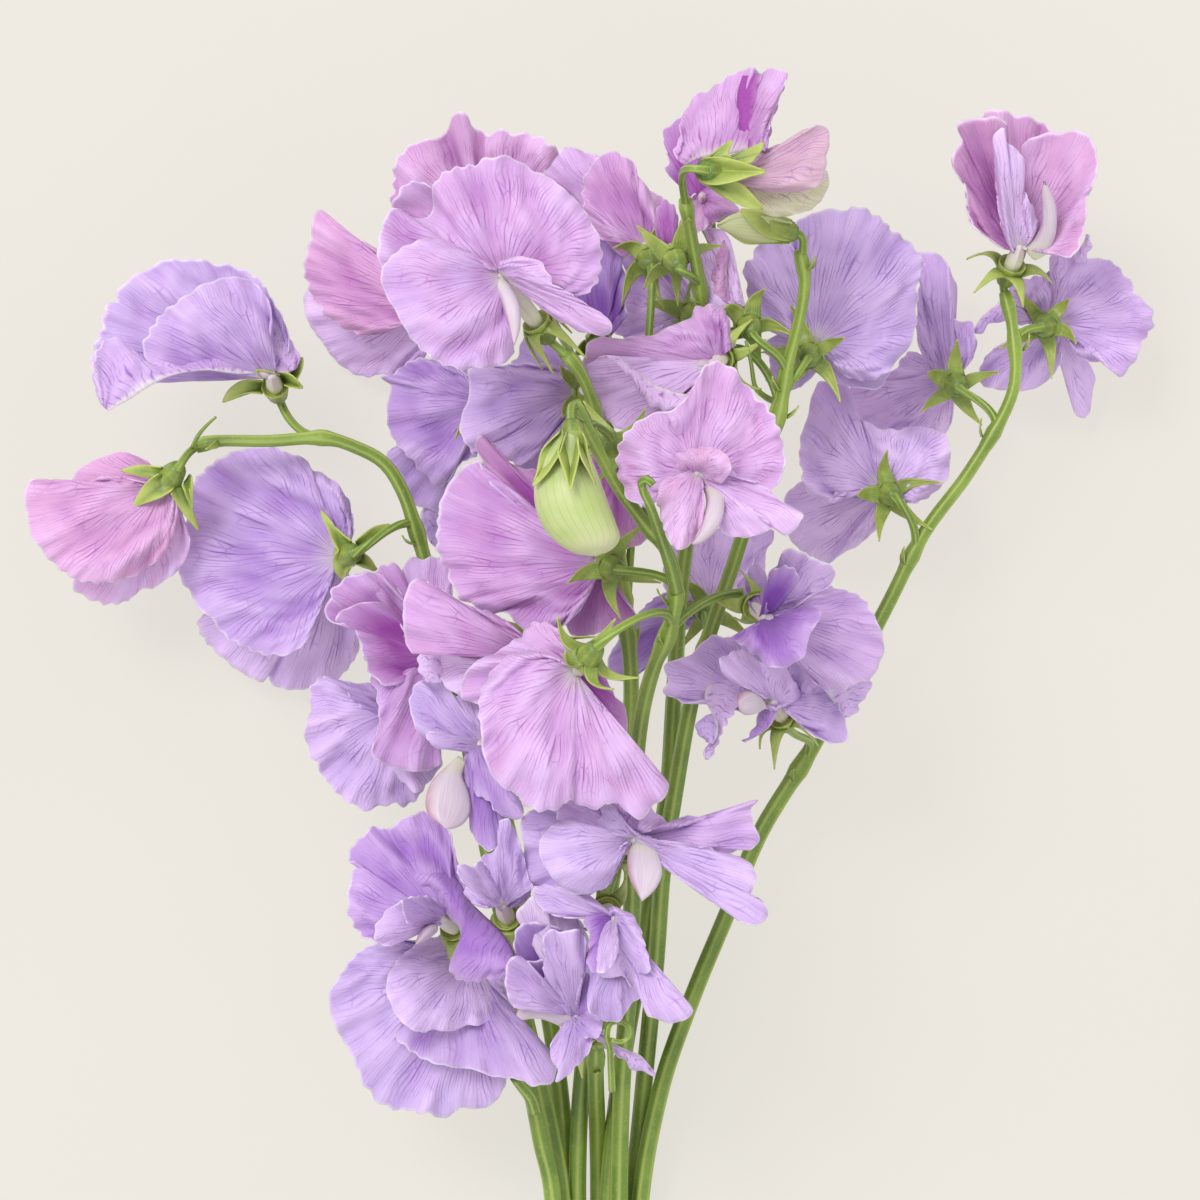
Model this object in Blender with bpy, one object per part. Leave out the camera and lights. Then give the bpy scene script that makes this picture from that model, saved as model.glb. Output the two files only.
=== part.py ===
# A bouquet of sweet peas: nine cut stems with their blooms and buds, laid on a table.
# X runs across the bunch, Y along the stems towards the flowers and Z up from the table, in metres.
# Each stem with its flower stalks and calyces is one green solid, and each bloom's petals are another.

import math

import bmesh
import bpy
import numpy as np

MM = 0.001

# The bunch is laid out as it is seen from straight above. A place is written as pixels across and down
# the picture, which shows PICTURE_WIDTH at LAYOUT_HEIGHT, and a height above the table in millimetres.
PICTURE_PIXELS = 1200
PICTURE_WIDTH = 252.0
LAYOUT_HEIGHT = 60.0
EYE_HEIGHT = 1060.0
MIDDLE_PIXEL = (596.2, 800.0)  # the pixel over the middle of the bunch's box, which is the origin

# Sizes in millimetres.
PETAL_THICKNESS = 0.75
STEM_RADIUS = 2.0
STEM_TIP_RADIUS = 1.15
STALK_RADIUS = 0.85
STALK_BEND = 12.0  # how far along the stem a stalk keeps to its line, at most
STALK_BEND_SHARE = 0.42  # of the stalk's own length
STALK_SUNK = 0.8  # how far a stalk runs into the foot of its calyx
CALYX_LENGTH = 6.0
CALYX_RADIUS = 3.0
CALYX_MOUTH_RADIUS = 2.7
CALYX_FOOT_RADIUS = 1.2
SEPAL_LENGTH = 9.0
SEPAL_THICKNESS = 0.8
SEPALS = 5
SEAT_GAP = 0.3  # between the calyx's mouth and the foot of the petals
BUD_SEPALS = 20  # degrees between the sepals and the bloom's axis, on a bud
OPEN_SEPALS = 120  # on an open bloom seen from behind
HIDDEN_SEPALS = 150  # on an open bloom seen from the front
CLAW_HALF_WIDTH = 1.1
CLAW_DEPTH = 1.6  # how far inside the throat the petals and keel start
CLAW_SHIFTS = (-0.9, 0.4, 1.2)  # how far in front of the throat's middle each petal starts
FOOT_RADIUS = 1.9
THROAT_RADIUS = 1.6
KEEL_HALF_WIDTH = 3.0
KEEL_HALF_DEPTH = 1.7
BUD_DEPTH = 0.6  # of a bud's half width

# The outlines of round pieces: shares of the way along them, of their half width and of their half depth.
KEEL_OUTLINE = ((0, 0.3, 0.5), (0.45, 1, 1), (0.8, 0.8, 0.8), (1, 0.2, 0.3))
BUD_OUTLINE = ((0.18, 0.62, 0.8), (0.45, 1, 1), (0.8, 0.86, 0.7), (1, 0.3, 0.3))

# A stem's radius thins towards its tip: shares of the way along it and of its own radius.
STEM_THINNING = ((0, 0.55, 1), (1, 0.9, STEM_TIP_RADIUS / STEM_RADIUS))

# Facets. FACETS holds a petal's columns and its rows' shares of the way from claw to edge.
FACETS = {"standard": (8, (0.55, 1.0)), "wing": (4, (0.55, 1.0))}
CLAW_END = (0.5, 0.07)  # how far out in the fan, and how far along it, the claw's corners are
KEEL_SIDES = 5
FOOT_SIDES = 6
BUD_SIDES = 8
STEM_BEVEL = 1  # the curve bevel's resolution: six sides
STALK_BEVEL = 0  # four sides
STALK_POINTS = 5
STEM_POINT_SPACING = 21.0
FINE_SPACING = 3.0  # of the points on a stem that a stalk may start from
FLAT_ANGLE = 1.0  # faces of a union that turn less than this, in degrees, become one
SHARP_ANGLE = 40.0

GREEN = (0.16, 0.27, 0.05, 1.0)
LILAC = (0.52, 0.33, 0.76, 1.0)
ROSE = (0.68, 0.37, 0.67, 1.0)
PALE_GREEN = (0.52, 0.60, 0.27, 1.0)

# The two kinds of petal. fan: half the angle that it opens over, in degrees. breadth: its width, where
# 1 is a standard nearly twice as wide as long. drop and power round off the fan's two sides.
# curl arches it from claw to tip, fold turns both sides forward about the midrib and wrap cups them, in
# degrees. ruffle and flare, in millimetres, wave its edge and bend its left and right sides forward.
PETALS = {
    "standard": {"fan": 125, "breadth": 1.0, "drop": 0.45, "power": 4, "notch": 0.07,
                 "curl": -22, "fold": 5, "wrap": -16, "ruffle": 1.7, "flare": (0, 0)},
    "wing": {"fan": 80, "breadth": 1.0, "drop": 0.6, "power": 3, "notch": 0.0,
             "curl": 16, "fold": 0, "wrap": -24, "ruffle": 1.3, "flare": (0, 0)},
}

# Each stem's line from its cut end to its tip, as places.
STEMS = {
    "right": [
        (635, 1470, 8.3), (638, 1330, 8.3), (641, 1200, 8.3), (661, 1090, 12.5), (692, 1000, 17),
        (727, 915, 21), (761, 832, 25), (815, 743, 29), (885, 611, 33), (924, 534, 36),
        (968, 474, 39), (1006, 410, 41), (1016, 371, 42), (1012, 322, 42), (1005, 292, 42),
    ],
    "centre": [
        (616, 1440, 13), (618, 1320, 13), (619, 1200, 13), (622, 1089, 20), (630, 970, 36),
        (633, 860, 52), (635, 780, 64), (642, 715, 76), (654, 667, 84), (668, 633, 90),
        (676, 594, 94), (668, 553, 98), (642, 519, 101), (617, 485, 104), (591, 437, 107),
        (574, 402, 110),
    ],
    "tall": [
        (627, 1450, 4), (630, 1330, 4), (634, 1200, 4), (644, 1089, 9), (656, 964, 20),
        (663, 872, 29), (674, 800, 36), (690, 710, 44), (708, 640, 50), (735, 560, 56),
        (760, 480, 61), (780, 408, 66), (788, 365, 69), (800, 318, 72), (805, 280, 74),
        (800, 250, 75),
    ],
    "top": [
        (607, 1455, 9), (608, 1320, 9), (608, 1200, 9), (620, 1080, 12), (640, 960, 16),
        (656, 860, 24), (668, 790, 30), (674, 700, 36), (680, 600, 45), (692, 500, 50),
        (700, 420, 55), (703, 350, 62), (700, 290, 70), (692, 240, 77), (685, 200, 84),
    ],
    "front": [
        (583, 1460, 8), (582, 1320, 8), (577, 1200, 8), (582, 1080, 12), (600, 950, 26),
        (620, 820, 42), (631, 700, 54), (624, 600, 62), (612, 500, 70), (600, 430, 78),
        (584, 380, 88), (567, 354, 93),
    ],
    "left": [
        (568, 1450, 11), (566, 1320, 11), (562, 1200, 11), (549, 1120, 11), (530, 1040, 17),
        (508, 940, 22), (488, 850, 25), (468, 740, 27), (446, 640, 31), (425, 560, 36),
        (413, 520, 39), (402, 490, 40), (384, 463, 41), (355, 447, 42), (322, 438, 43),
        (270, 441, 44), (218, 441, 44), (196, 447, 44),
    ],
    "inner": [
        (573, 1445, 1.7), (571, 1320, 2), (568, 1200, 3), (562, 1110, 7), (550, 1020, 14),
        (530, 930, 24), (512, 850, 34), (498, 780, 44), (490, 700, 50), (488, 600, 50),
        (490, 500, 48), (488, 420, 45), (470, 350, 42),
    ],
    "low_left": [
        (558, 1435, 16), (556, 1320, 16), (553, 1200, 16), (541, 1140, 18), (531, 1090, 22),
        (520, 1040, 30), (513, 990, 38), (511, 955, 44),
    ],
    "low": [
        (598, 1440, 3), (598, 1320, 3), (599, 1200, 3), (598, 1130, 9), (596, 1075, 24),
        (597, 1010, 42), (602, 950, 54), (606, 900, 64), (612, 865, 72),
    ],
}

# Every bloom: the middle of its calyx, the throat where its petals part, the pixel where its stalk
# leaves the stem, its petals and how rosy it is. A petal is its kind, the place of its tip, its turn in
# degrees (0 shows its face to the eye above, 180 its back) and its own shape. keel is the keel's tip.
BLOOMS = {
    "right": [
        dict(calyx=(1008, 274, 44), throat=(1021, 244, 50), node=(1005, 292), rosy=0.9, keel=(1047, 186, 56),
             sepals=110,
             petals=[("standard", (1024, 98, 42), 0, {"breadth": 0.58, "fan": 100, "wrap": 60, "curl": 6}),
                     ("wing", (1000, 110, 58), 35, {"breadth": 0.55, "wrap": -40}),
                     ("wing", (1074, 150, 54), -20, {"breadth": 0.7, "wrap": 30})]),
        dict(calyx=(1044, 326, 34), throat=(1054, 322, 26), node=(1015, 345), rosy=0.3,
             petals=[("standard", (1152, 300, 22), 180, {"breadth": 0.72, "fan": 105, "flare": (-4, 0)}),
                     ("wing", (979, 374, 12), 180, {"breadth": 0.75}),
                     ("wing", (1083, 416, 9), 160, {"breadth": 0.5})]),
        dict(calyx=(957, 386, 32), throat=(949, 378, 24), node=(987, 438), rosy=0.2,
             petals=[("standard", (926, 250, 20), 170, {"breadth": 0.5, "fan": 100}),
                     ("wing", (860, 396, 9), 180, {"breadth": 0.7}),
                     ("wing", (934, 436, 0.8), 180, {"breadth": 0.8})]),
        dict(calyx=(891, 495, 38), throat=(880, 488, 31), node=(906, 556), rosy=0.15,
             petals=[("standard", (862, 386, 29), 180, {"breadth": 0.75}),
                     ("wing", (806, 556, 5), 180, {"breadth": 0.75}),
                     ("wing", (830, 440, 16), 180, {"breadth": 0.5})]),
        dict(calyx=(784, 721, 52), throat=(772, 700, 61), node=(800, 768), rosy=0.4, keel=(744, 708, 67),
             petals=[("standard", (760, 640, 54), 0, {"breadth": 1.45, "fan": 118, "curl": -30}),
                     ("wing", (722, 668, 72), 10, {"breadth": 1.0}),
                     ("wing", (704, 756, 70), 40, {"breadth": 0.4})]),
    ],
    "centre": [
        dict(calyx=(573, 434, 117), throat=(576, 455, 118), node=(574, 402), rosy=0, bud=(592, 553, 121),
             width=9, sepals=45, petals=[]),
        dict(calyx=(612, 444, 92), throat=(620, 466, 82), node=(591, 437), rosy=0.8,
             petals=[("standard", (634, 540, 72), 180, {"breadth": 0.34, "fold": 30, "fan": 100})]),
        dict(calyx=(682, 464, 97), throat=(700, 474, 110), node=(652, 532), rosy=1,
             keel=(704, 542, 122),
             petals=[("standard", (714, 362, 107), 0, {"breadth": 0.85, "flare": (5, 0)}),
                     ("wing", (680, 549, 122), 10, {"breadth": 0.8}),
                     ("wing", (796, 520, 116), 0, {"breadth": 0.6})]),
        dict(calyx=(613, 568, 92), throat=(596, 562, 82), node=(676, 600), rosy=0.7,
             petals=[("standard", (436, 542, 78), 180, {"breadth": 0.6, "fan": 105}),
                     ("wing", (540, 630, 68), 180, {"breadth": 0.7}),
                     ("wing", (500, 480, 64), 180, {"breadth": 0.6})]),
        dict(calyx=(591, 654, 108), throat=(572, 676, 102), node=(668, 633), rosy=1,
             petals=[("standard", (562, 820, 103), 180,
                      {"breadth": 0.85, "fan": 90, "curl": -30, "flare": (0, -3)}),
                     ("wing", (462, 668, 92), 180, {"breadth": 0.85}),
                     ("wing", (500, 735, 90), 180, {"breadth": 0.8})]),
        dict(calyx=(753, 603, 74), throat=(766, 619, 83), node=(664, 645), rosy=0.5,
             petals=[("standard", (880, 644, 72), 15, {"breadth": 0.68, "fan": 105}),
                     ("wing", (824, 556, 88), 30, {"breadth": 0.6}),
                     ("wing", (784, 666, 94), 0, {"breadth": 1.6, "ruffle": 2.0})]),
    ],
    "tall": [
        dict(calyx=(784, 231, 78), throat=(768, 228, 78), node=(800, 252), rosy=0.2, bud=(717, 222, 78),
             width=3.6, petals=[]),
        dict(calyx=(750, 328, 71), throat=(742, 310, 65), node=(786, 372), rosy=0.8, sepals=110,
             petals=[("standard", (714, 230, 61), 180,
                      {"breadth": 0.36, "fold": 30, "fan": 100, "ruffle": 0.8})]),
        dict(calyx=(809, 356, 62), throat=(816, 342, 50), node=(780, 410), rosy=0.25,
             petals=[("standard", (842, 206, 46), 180, {"breadth": 0.78}),
                     ("wing", (768, 374, 34), 180, {"breadth": 0.6}),
                     ("wing", (890, 340, 31), 180, {"breadth": 0.7})]),
        dict(calyx=(706, 612, 38), throat=(708, 602, 30), node=(704, 655), rosy=0.3, sepals=105,
             petals=[("standard", (742, 530, 26), 180, {"breadth": 0.8, "fan": 105}),
                     ("wing", (650, 630, 18), 180, {"breadth": 0.7}),
                     ("wing", (760, 570, 17), 180, {"breadth": 0.5})]),
        dict(calyx=(727, 354, 72), throat=(710, 366, 78), node=(778, 420), rosy=0.9, sepals=130,
             petals=[("standard", (602, 344, 66), 0, {"breadth": 0.45, "wrap": 20, "fan": 95}),
                     ("wing", (592, 404, 78), 0, {"breadth": 0.6}),
                     ("wing", (660, 320, 84), 0, {"breadth": 0.6})]),
    ],
    "top": [
        dict(calyx=(714, 172, 106), throat=(740, 177, 98), node=(686, 205), rosy=0.9, sepals=75,
             petals=[("standard", (734, 68, 90), 150,
                      {"breadth": 0.78, "fold": 10, "fan": 85, "drop": 0.6}),
                     ("wing", (830, 156, 98), 0, {"breadth": 0.85, "wrap": -30}),
                     ("wing", (826, 164, 84), 180, {"breadth": 0.8, "wrap": -30})]),
        dict(calyx=(708, 212, 52), throat=(702, 198, 60), node=(703, 340), rosy=0.6,
             petals=[("standard", (676, 118, 56), 0, {"breadth": 0.7}),
                     ("wing", (738, 224, 70), 0, {"breadth": 0.8}),
                     ("wing", (690, 232, 70), 0, {"breadth": 0.6})]),
        dict(calyx=(676, 262, 74), throat=(668, 246, 68), node=(700, 285), rosy=0.6, sepals=75,
             petals=[("standard", (656, 202, 64), 180, {"breadth": 0.45, "fold": 30, "fan": 100})]),
        dict(calyx=(692, 316, 43), throat=(684, 306, 35), node=(703, 370), rosy=0.5,
             petals=[("standard", (612, 280, 30), 180, {"breadth": 0.75, "fan": 105}),
                     ("wing", (650, 350, 20), 180, {"breadth": 0.8}),
                     ("wing", (650, 240, 17), 180, {"breadth": 0.8})]),
    ],
    "front": [
        dict(calyx=(543, 331, 94), throat=(499, 272, 104), node=(572, 362), rosy=0.7, keel=(513, 346, 114),
             petals=[("standard", (484, 152, 96), 0, {"breadth": 0.95}),
                     ("wing", (398, 322, 110), 0, {"breadth": 0.95}),
                     ("wing", (609, 329, 108), 35, {"breadth": 0.4})]),
        dict(calyx=(508, 262, 46), throat=(480, 236, 56), node=(596, 410), rosy=0.8,
             petals=[("standard", (450, 113, 54), 0, {"breadth": 0.8, "ruffle": 2.4}),
                     ("wing", (402, 196, 66), 0, {"breadth": 0.5}),
                     ("wing", (440, 300, 66), 0, {"breadth": 0.8})]),
        dict(calyx=(650, 262, 58), throat=(644, 244, 48), node=(625, 640), rosy=0.7,
             petals=[("standard", (604, 156, 46), 180, {"breadth": 0.62, "fold": 20}),
                     ("wing", (572, 158, 34), 180, {"breadth": 0.5, "ruffle": 2.2}),
                     ("wing", (620, 190, 31), 180, {"breadth": 0.5})]),
        dict(calyx=(598, 350, 51), throat=(602, 338, 43), node=(624, 600), rosy=0.1, sepals=160,
             petals=[("standard", (620, 234, 40), 180, {"breadth": 0.5, "fan": 100, "ruffle": 0.8})]),
        dict(calyx=(590, 392, 64), throat=(574, 394, 57), node=(612, 520), rosy=0.2,
             petals=[("standard", (460, 412, 56), 180, {"breadth": 0.68, "fan": 88}),
                     ("wing", (515, 352, 46), 180, {"breadth": 0.6}),
                     ("wing", (530, 452, 44), 180, {"breadth": 0.6})]),
    ],
    "left": [
        dict(calyx=(277, 392, 38), throat=(271, 374, 46), node=(325, 438), rosy=0.3, sepals=125,
             petals=[("standard", (94, 302, 40), 0, {"breadth": 0.55, "fan": 88, "wrap": 30}),
                     ("wing", (150, 288, 54), 0, {"breadth": 0.6}),
                     ("wing", (104, 398, 60), 15, {"breadth": 0.3})]),
        dict(calyx=(174, 473, 48), throat=(160, 490, 41), node=(196, 447), rosy=1, sepals=100,
             petals=[("standard", (50, 576, 40), 180, {"breadth": 0.72, "fan": 88}),
                     ("wing", (122, 603, 29), 180, {"breadth": 0.9}),
                     ("wing", (70, 515, 27), 180, {"breadth": 0.6})]),
        dict(calyx=(351, 554, 40), throat=(338, 556, 32), node=(413, 535), rosy=0.2,
             petals=[("standard", (166, 574, 26), 180, {"breadth": 0.76}),
                     ("wing", (288, 690, 0), 180, {"breadth": 0.6}),
                     ("wing", (250, 500, 12), 180, {"breadth": 0.6})]),
    ],
    "inner": [
        dict(calyx=(446, 660, 44), throat=(430, 652, 52), node=(489, 700), rosy=0.6,
             petals=[("standard", (352, 596, 48), 0, {"breadth": 0.75, "fold": 10}),
                     ("wing", (408, 768, 56), 0, {"breadth": 0.5}),
                     ("wing", (338, 640, 60), 0, {"breadth": 0.5})]),
        dict(calyx=(412, 702, 34), throat=(392, 712, 42), node=(492, 760), rosy=0.1,
             petals=[("standard", (350, 808, 38), 0, {"breadth": 0.78}),
                     ("wing", (324, 680, 47), 0, {"breadth": 0.7}),
                     ("wing", (430, 780, 47), 0, {"breadth": 0.6})]),
        dict(calyx=(496, 745, 60), throat=(478, 745, 70), node=(500, 800), rosy=0.15, keel=(446, 828, 80),
             petals=[("standard", (410, 698, 66), 0, {"breadth": 0.85}),
                     ("wing", (502, 850, 78), 0, {"breadth": 0.5}),
                     ("wing", (524, 796, 82), 0, {"breadth": 0.6})]),
        dict(calyx=(492, 404, 34), throat=(480, 404, 27), node=(489, 460), rosy=0.15,
             petals=[("standard", (386, 416, 23), 180, {"breadth": 0.75, "fan": 110}),
                     ("wing", (414, 502, 13), 180, {"breadth": 0.5}),
                     ("wing", (440, 370, 11), 180, {"breadth": 0.6})]),
        dict(calyx=(550, 662, 86), throat=(532, 655, 81), node=(488, 640), rosy=0.9, sepals=140,
             petals=[("standard", (406, 620, 84), 180, {"breadth": 0.5, "fold": 10, "fan": 100}),
                     ("wing", (430, 650, 74), 180, {"breadth": 0.5}),
                     ("wing", (452, 690, 73), 180, {"breadth": 0.5})]),
        dict(calyx=(448, 312, 34), throat=(432, 306, 27), node=(470, 360), rosy=1,
             petals=[("standard", (296, 258, 24), 180, {"breadth": 0.55, "fan": 110}),
                     ("wing", (330, 356, 0), 180, {"breadth": 0.75}),
                     ("wing", (360, 280, 10), 180, {"breadth": 0.5})]),
    ],
    "low_left": [
        dict(calyx=(458, 930, 58), throat=(440, 918, 68), node=(512, 970), rosy=0.5, keel=(416, 946, 78),
             petals=[("standard", (374, 828, 58), 0, {"breadth": 0.72, "fan": 110}),
                     ("wing", (494, 976, 80), 0, {"breadth": 0.5}),
                     ("wing", (366, 930, 80), 0, {"breadth": 0.6})]),
        dict(calyx=(486, 960, 38), throat=(466, 962, 48), node=(513, 1010), rosy=0.15,
             petals=[("standard", (402, 1114, 40), 0, {"breadth": 0.78, "fan": 110}),
                     ("wing", (420, 1026, 60), 0, {"breadth": 1.2}),
                     ("wing", (546, 1074, 56), 0, {"breadth": 0.5})]),
        dict(calyx=(510, 922, 72), throat=(500, 904, 81), node=(512, 960), rosy=0.1,
             petals=[("standard", (480, 850, 79), 0, {"breadth": 0.7, "fan": 100}),
                     ("wing", (532, 860, 89), 0, {"breadth": 0.8}),
                     ("wing", (474, 905, 91), 0, {"breadth": 0.7})]),
    ],
    "low": [
        dict(calyx=(622, 850, 78), throat=(634, 838, 90), node=(610, 875), rosy=0.3, keel=(646, 898, 100),
             petals=[("standard", (762, 812, 86), 0, {"breadth": 0.35, "fan": 100}),
                     ("wing", (545, 856, 98), 0, {"breadth": 0.85}),
                     ("wing", (766, 908, 96), 0, {"breadth": 0.42})]),
        dict(calyx=(588, 1036, 60), throat=(574, 1014, 72), node=(595, 1078), rosy=0.2,
             petals=[("standard", (546, 928, 68), 0, {"breadth": 0.5}),
                     ("wing", (566, 1084, 80), 0, {"breadth": 0.7}),
                     ("wing", (620, 950, 76), 0, {"breadth": 0.6})]),
        dict(calyx=(604, 908, 74), throat=(616, 920, 86), node=(604, 935), rosy=0.3,
             petals=[("standard", (572, 960, 82), 0, {"breadth": 0.8}),
                     ("wing", (690, 1012, 92), 0, {"breadth": 0.45}),
                     ("wing", (660, 930, 94), 0, {"breadth": 0.6})]),
    ],
}


def unit(vector):
    """The vector at length 1."""
    vector = np.asarray(vector, float)
    return vector / np.linalg.norm(vector)


def place(across, down, height):
    """A place of the picture in metres, with the origin on the table under the middle of the bunch."""
    pixel = PICTURE_WIDTH / PICTURE_PIXELS
    nearer = (EYE_HEIGHT - height) / (EYE_HEIGHT - LAYOUT_HEIGHT)
    middle = PICTURE_PIXELS / 2
    x = (across - middle) * nearer + middle - MIDDLE_PIXEL[0]
    y = MIDDLE_PIXEL[1] - middle - (down - middle) * nearer
    return np.array([x * pixel, y * pixel, height]) * MM


def smooth_line(points, spacing):
    """Points about spacing apart on a Catmull-Rom curve through the given points."""
    points = np.asarray(points)
    line = np.vstack([2 * points[0] - points[1], points, 2 * points[-1] - points[-2]])
    found = []
    for before, start, end, after in zip(line, line[1:], line[2:], line[3:]):
        steps = max(1, round(np.linalg.norm(end - start) / spacing))
        for t in np.arange(steps)[:, None] / steps:
            found.append(
                0.5 * (2 * start + (end - before) * t + (2 * before - 5 * start + 4 * end - after) * t**2
                       + (3 * start - before - 3 * end + after) * t**3)
            )
    return np.vstack([*found, points[-1:]])


def link(name, mesh, colour, collection=None):
    """A new object for a mesh, with its own plain material."""
    obj = bpy.data.objects.new(name, mesh)
    (collection or bpy.context.scene.collection).objects.link(obj)
    material = bpy.data.materials.new(name)
    material.use_nodes = True
    shader = material.node_tree.nodes["Principled BSDF"]
    shader.inputs["Base Color"].default_value = colour
    shader.inputs["Roughness"].default_value = 0.6
    mesh.materials.append(material)
    return obj


def petal_mesh(surface, columns, rows):
    """A triangulated sheet: a narrow claw, then a fan to rows of points across the petal."""
    out, along = CLAW_END
    across = np.linspace(-1, 1, columns + 1)
    u = np.concatenate([[-out, out, -out, out], np.tile(across, len(rows))])
    v = np.concatenate([[0, 0, along, along], np.repeat(rows, columns + 1)])
    faces = [(0, 1, 3), (0, 3, 2)]
    half = columns // 2
    faces += [(2, i + 5, i + 4) for i in range(half)] + [(2, 3, half + 4)]
    faces += [(3, i + 5, i + 4) for i in range(half, columns)]
    for row in range(len(rows) - 1):
        for i in range(columns):
            a = 4 + row * (columns + 1) + i
            b = a + columns + 1
            faces += [(a, a + 1, b + 1), (a, b + 1, b)]
    mesh = bpy.data.meshes.new("petal")
    mesh.from_pydata(surface(u, v).tolist(), [], faces)
    return mesh


def ring_mesh(rings):
    """A closed solid through rings of points, capped at both ends."""
    builder = bmesh.new()
    loops = [[builder.verts.new(point) for point in ring] for ring in rings]
    sides = len(loops[0])
    for lower, upper in zip(loops, loops[1:]):
        for i in range(sides):
            j = (i + 1) % sides
            builder.faces.new((lower[i], lower[j], upper[j], upper[i]))
    builder.faces.new(loops[0])
    builder.faces.new(loops[-1])
    bmesh.ops.recalc_face_normals(builder, faces=builder.faces)
    bmesh.ops.triangulate(builder, faces=builder.faces)
    mesh = bpy.data.meshes.new("rings")
    builder.to_mesh(mesh)
    builder.free()
    return mesh


def petal_points(u, v, size, phases):
    """Points of a fan-shaped petal as (along, across, out), in millimetres.

    u runs from one side of the fan to the other, from -1 to 1, and v from claw to edge, from 0 to 1.
    """
    turn = u * math.radians(size["fan"])
    edge = size["length"] * (1 - size["drop"] * np.abs(u) ** size["power"]
                             - size["notch"] * np.exp(-((u / 0.16) ** 2))
                             + 0.03 * np.sin(5 * u + phases[1]))
    reach = v * edge
    across = size["breadth"] * reach * np.sin(turn) + CLAW_HALF_WIDTH * u * (1 - v)
    along = reach * np.cos(turn)
    wave = size["ruffle"] * v**2.2 * (np.sin(4.4 * u + phases[0]) + 0.7 * np.sin(9.3 * u + phases[1]))
    flare = np.where(u < 0, size["flare"][0], size["flare"][1]) * v**2 * np.abs(u) ** 1.5
    bend = math.radians(size["wrap"]) / size["length"] + 1e-9
    tilt = math.radians(size["fold"])
    side = np.sin(bend * across) / bend
    ridge = np.sqrt(side**2 + 1) - 1
    out = (1 - np.cos(bend * across)) / bend * math.cos(tilt) + ridge * math.sin(tilt) + wave + flare
    arch = math.radians(size["curl"]) / size["length"] + 1e-9
    angle = arch * along
    return np.stack(
        [np.sin(angle) / arch - out * np.sin(angle), side * math.cos(tilt),
         (1 - np.cos(angle)) / arch + out * np.cos(angle)], -1)


def bloom_forward(bloom):
    """The way the bloom points, from its calyx to its throat."""
    return unit(place(*bloom["throat"]) - place(*bloom["calyx"]))


def petal_facing(ahead, turn):
    """The way the face of a petal along ahead looks, turned from the eye above."""
    eye = np.array([0.0, 0.0, 1.0])
    facing = unit(eye - (eye @ ahead) * ahead)
    right = np.cross(ahead, facing)
    return facing * math.cos(math.radians(turn)) + right * math.sin(math.radians(turn))


def petal_start(bloom, petal):
    """Where a petal's claw starts, inside the throat. The wings' claws are in front of the standard's."""
    start = place(*bloom["throat"]) - bloom_forward(bloom) * CLAW_DEPTH * MM
    _, tip, turn, _ = bloom["petals"][0]
    facing = petal_facing(unit(place(*tip) - start), turn)
    return start + facing * CLAW_SHIFTS[bloom["petals"].index(petal)] * MM


def petal_surface(bloom, petal, phases):
    """A function from the fan's u and v to points of one petal in its place, in metres."""
    kind, tip, turn, own = petal
    start = petal_start(bloom, petal)
    chord = place(*tip) - start
    size = {**PETALS[kind], **own}
    half = math.radians(size["curl"]) / 2
    size["length"] = np.linalg.norm(chord) / MM * half / math.sin(half)
    ahead = unit(chord)
    facing = petal_facing(ahead, turn)
    axes = np.array([ahead * math.cos(half) - facing * math.sin(half), np.cross(ahead, facing),
                     facing * math.cos(half) + ahead * math.sin(half)])

    def surface(u, v):
        return petal_points(u, v, size, phases) @ axes * MM + start

    return surface


def rings_between(start, end, rings, sides):
    """Rings of points from start to end. Each is its share of the way, half width and half depth."""
    ahead = unit(end - start)
    eye = np.array([0.0, 0.0, 1.0])
    broad = unit(np.cross(eye, ahead))
    deep = np.cross(ahead, broad)
    turns = np.arange(sides) * math.tau / sides
    found = []
    for share, width, depth in rings:
        ring = np.outer(np.cos(turns) * width, broad) + np.outer(np.sin(turns) * depth, deep)
        found.append(start + (end - start) * share + ring * MM)
    return found


def outline_rings(outline, width, depth):
    """Rings of an outline at a half width and half depth."""
    return [(share, wide * width, deep * depth) for share, wide, deep in outline]


def mouth_of(bloom):
    """The middle of the calyx's mouth."""
    return place(*bloom["calyx"]) + bloom_forward(bloom) * CALYX_LENGTH / 2 * MM


def core_mesh(bloom):
    """The foot from the calyx's mouth to the throat, which every petal grows from, or a whole bud."""
    mouth = mouth_of(bloom) + bloom_forward(bloom) * SEAT_GAP * MM
    foot = (0, FOOT_RADIUS, FOOT_RADIUS)
    if "bud" in bloom:
        rings = [foot, *outline_rings(BUD_OUTLINE, bloom["width"], bloom["width"] * BUD_DEPTH)]
        return ring_mesh(rings_between(mouth, place(*bloom["bud"]), rings, BUD_SIDES))
    rings = [foot, (1, THROAT_RADIUS, THROAT_RADIUS)]
    return ring_mesh(rings_between(mouth, place(*bloom["throat"]), rings, FOOT_SIDES))


def keel_mesh(bloom):
    """The boat-shaped keel that shows in front, from the throat to its tip."""
    start = place(*bloom["throat"]) - bloom_forward(bloom) * CLAW_DEPTH * MM
    rings = outline_rings(KEEL_OUTLINE, KEEL_HALF_WIDTH, KEEL_HALF_DEPTH)
    return ring_mesh(rings_between(start, place(*bloom["keel"]), rings, KEEL_SIDES))


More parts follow.
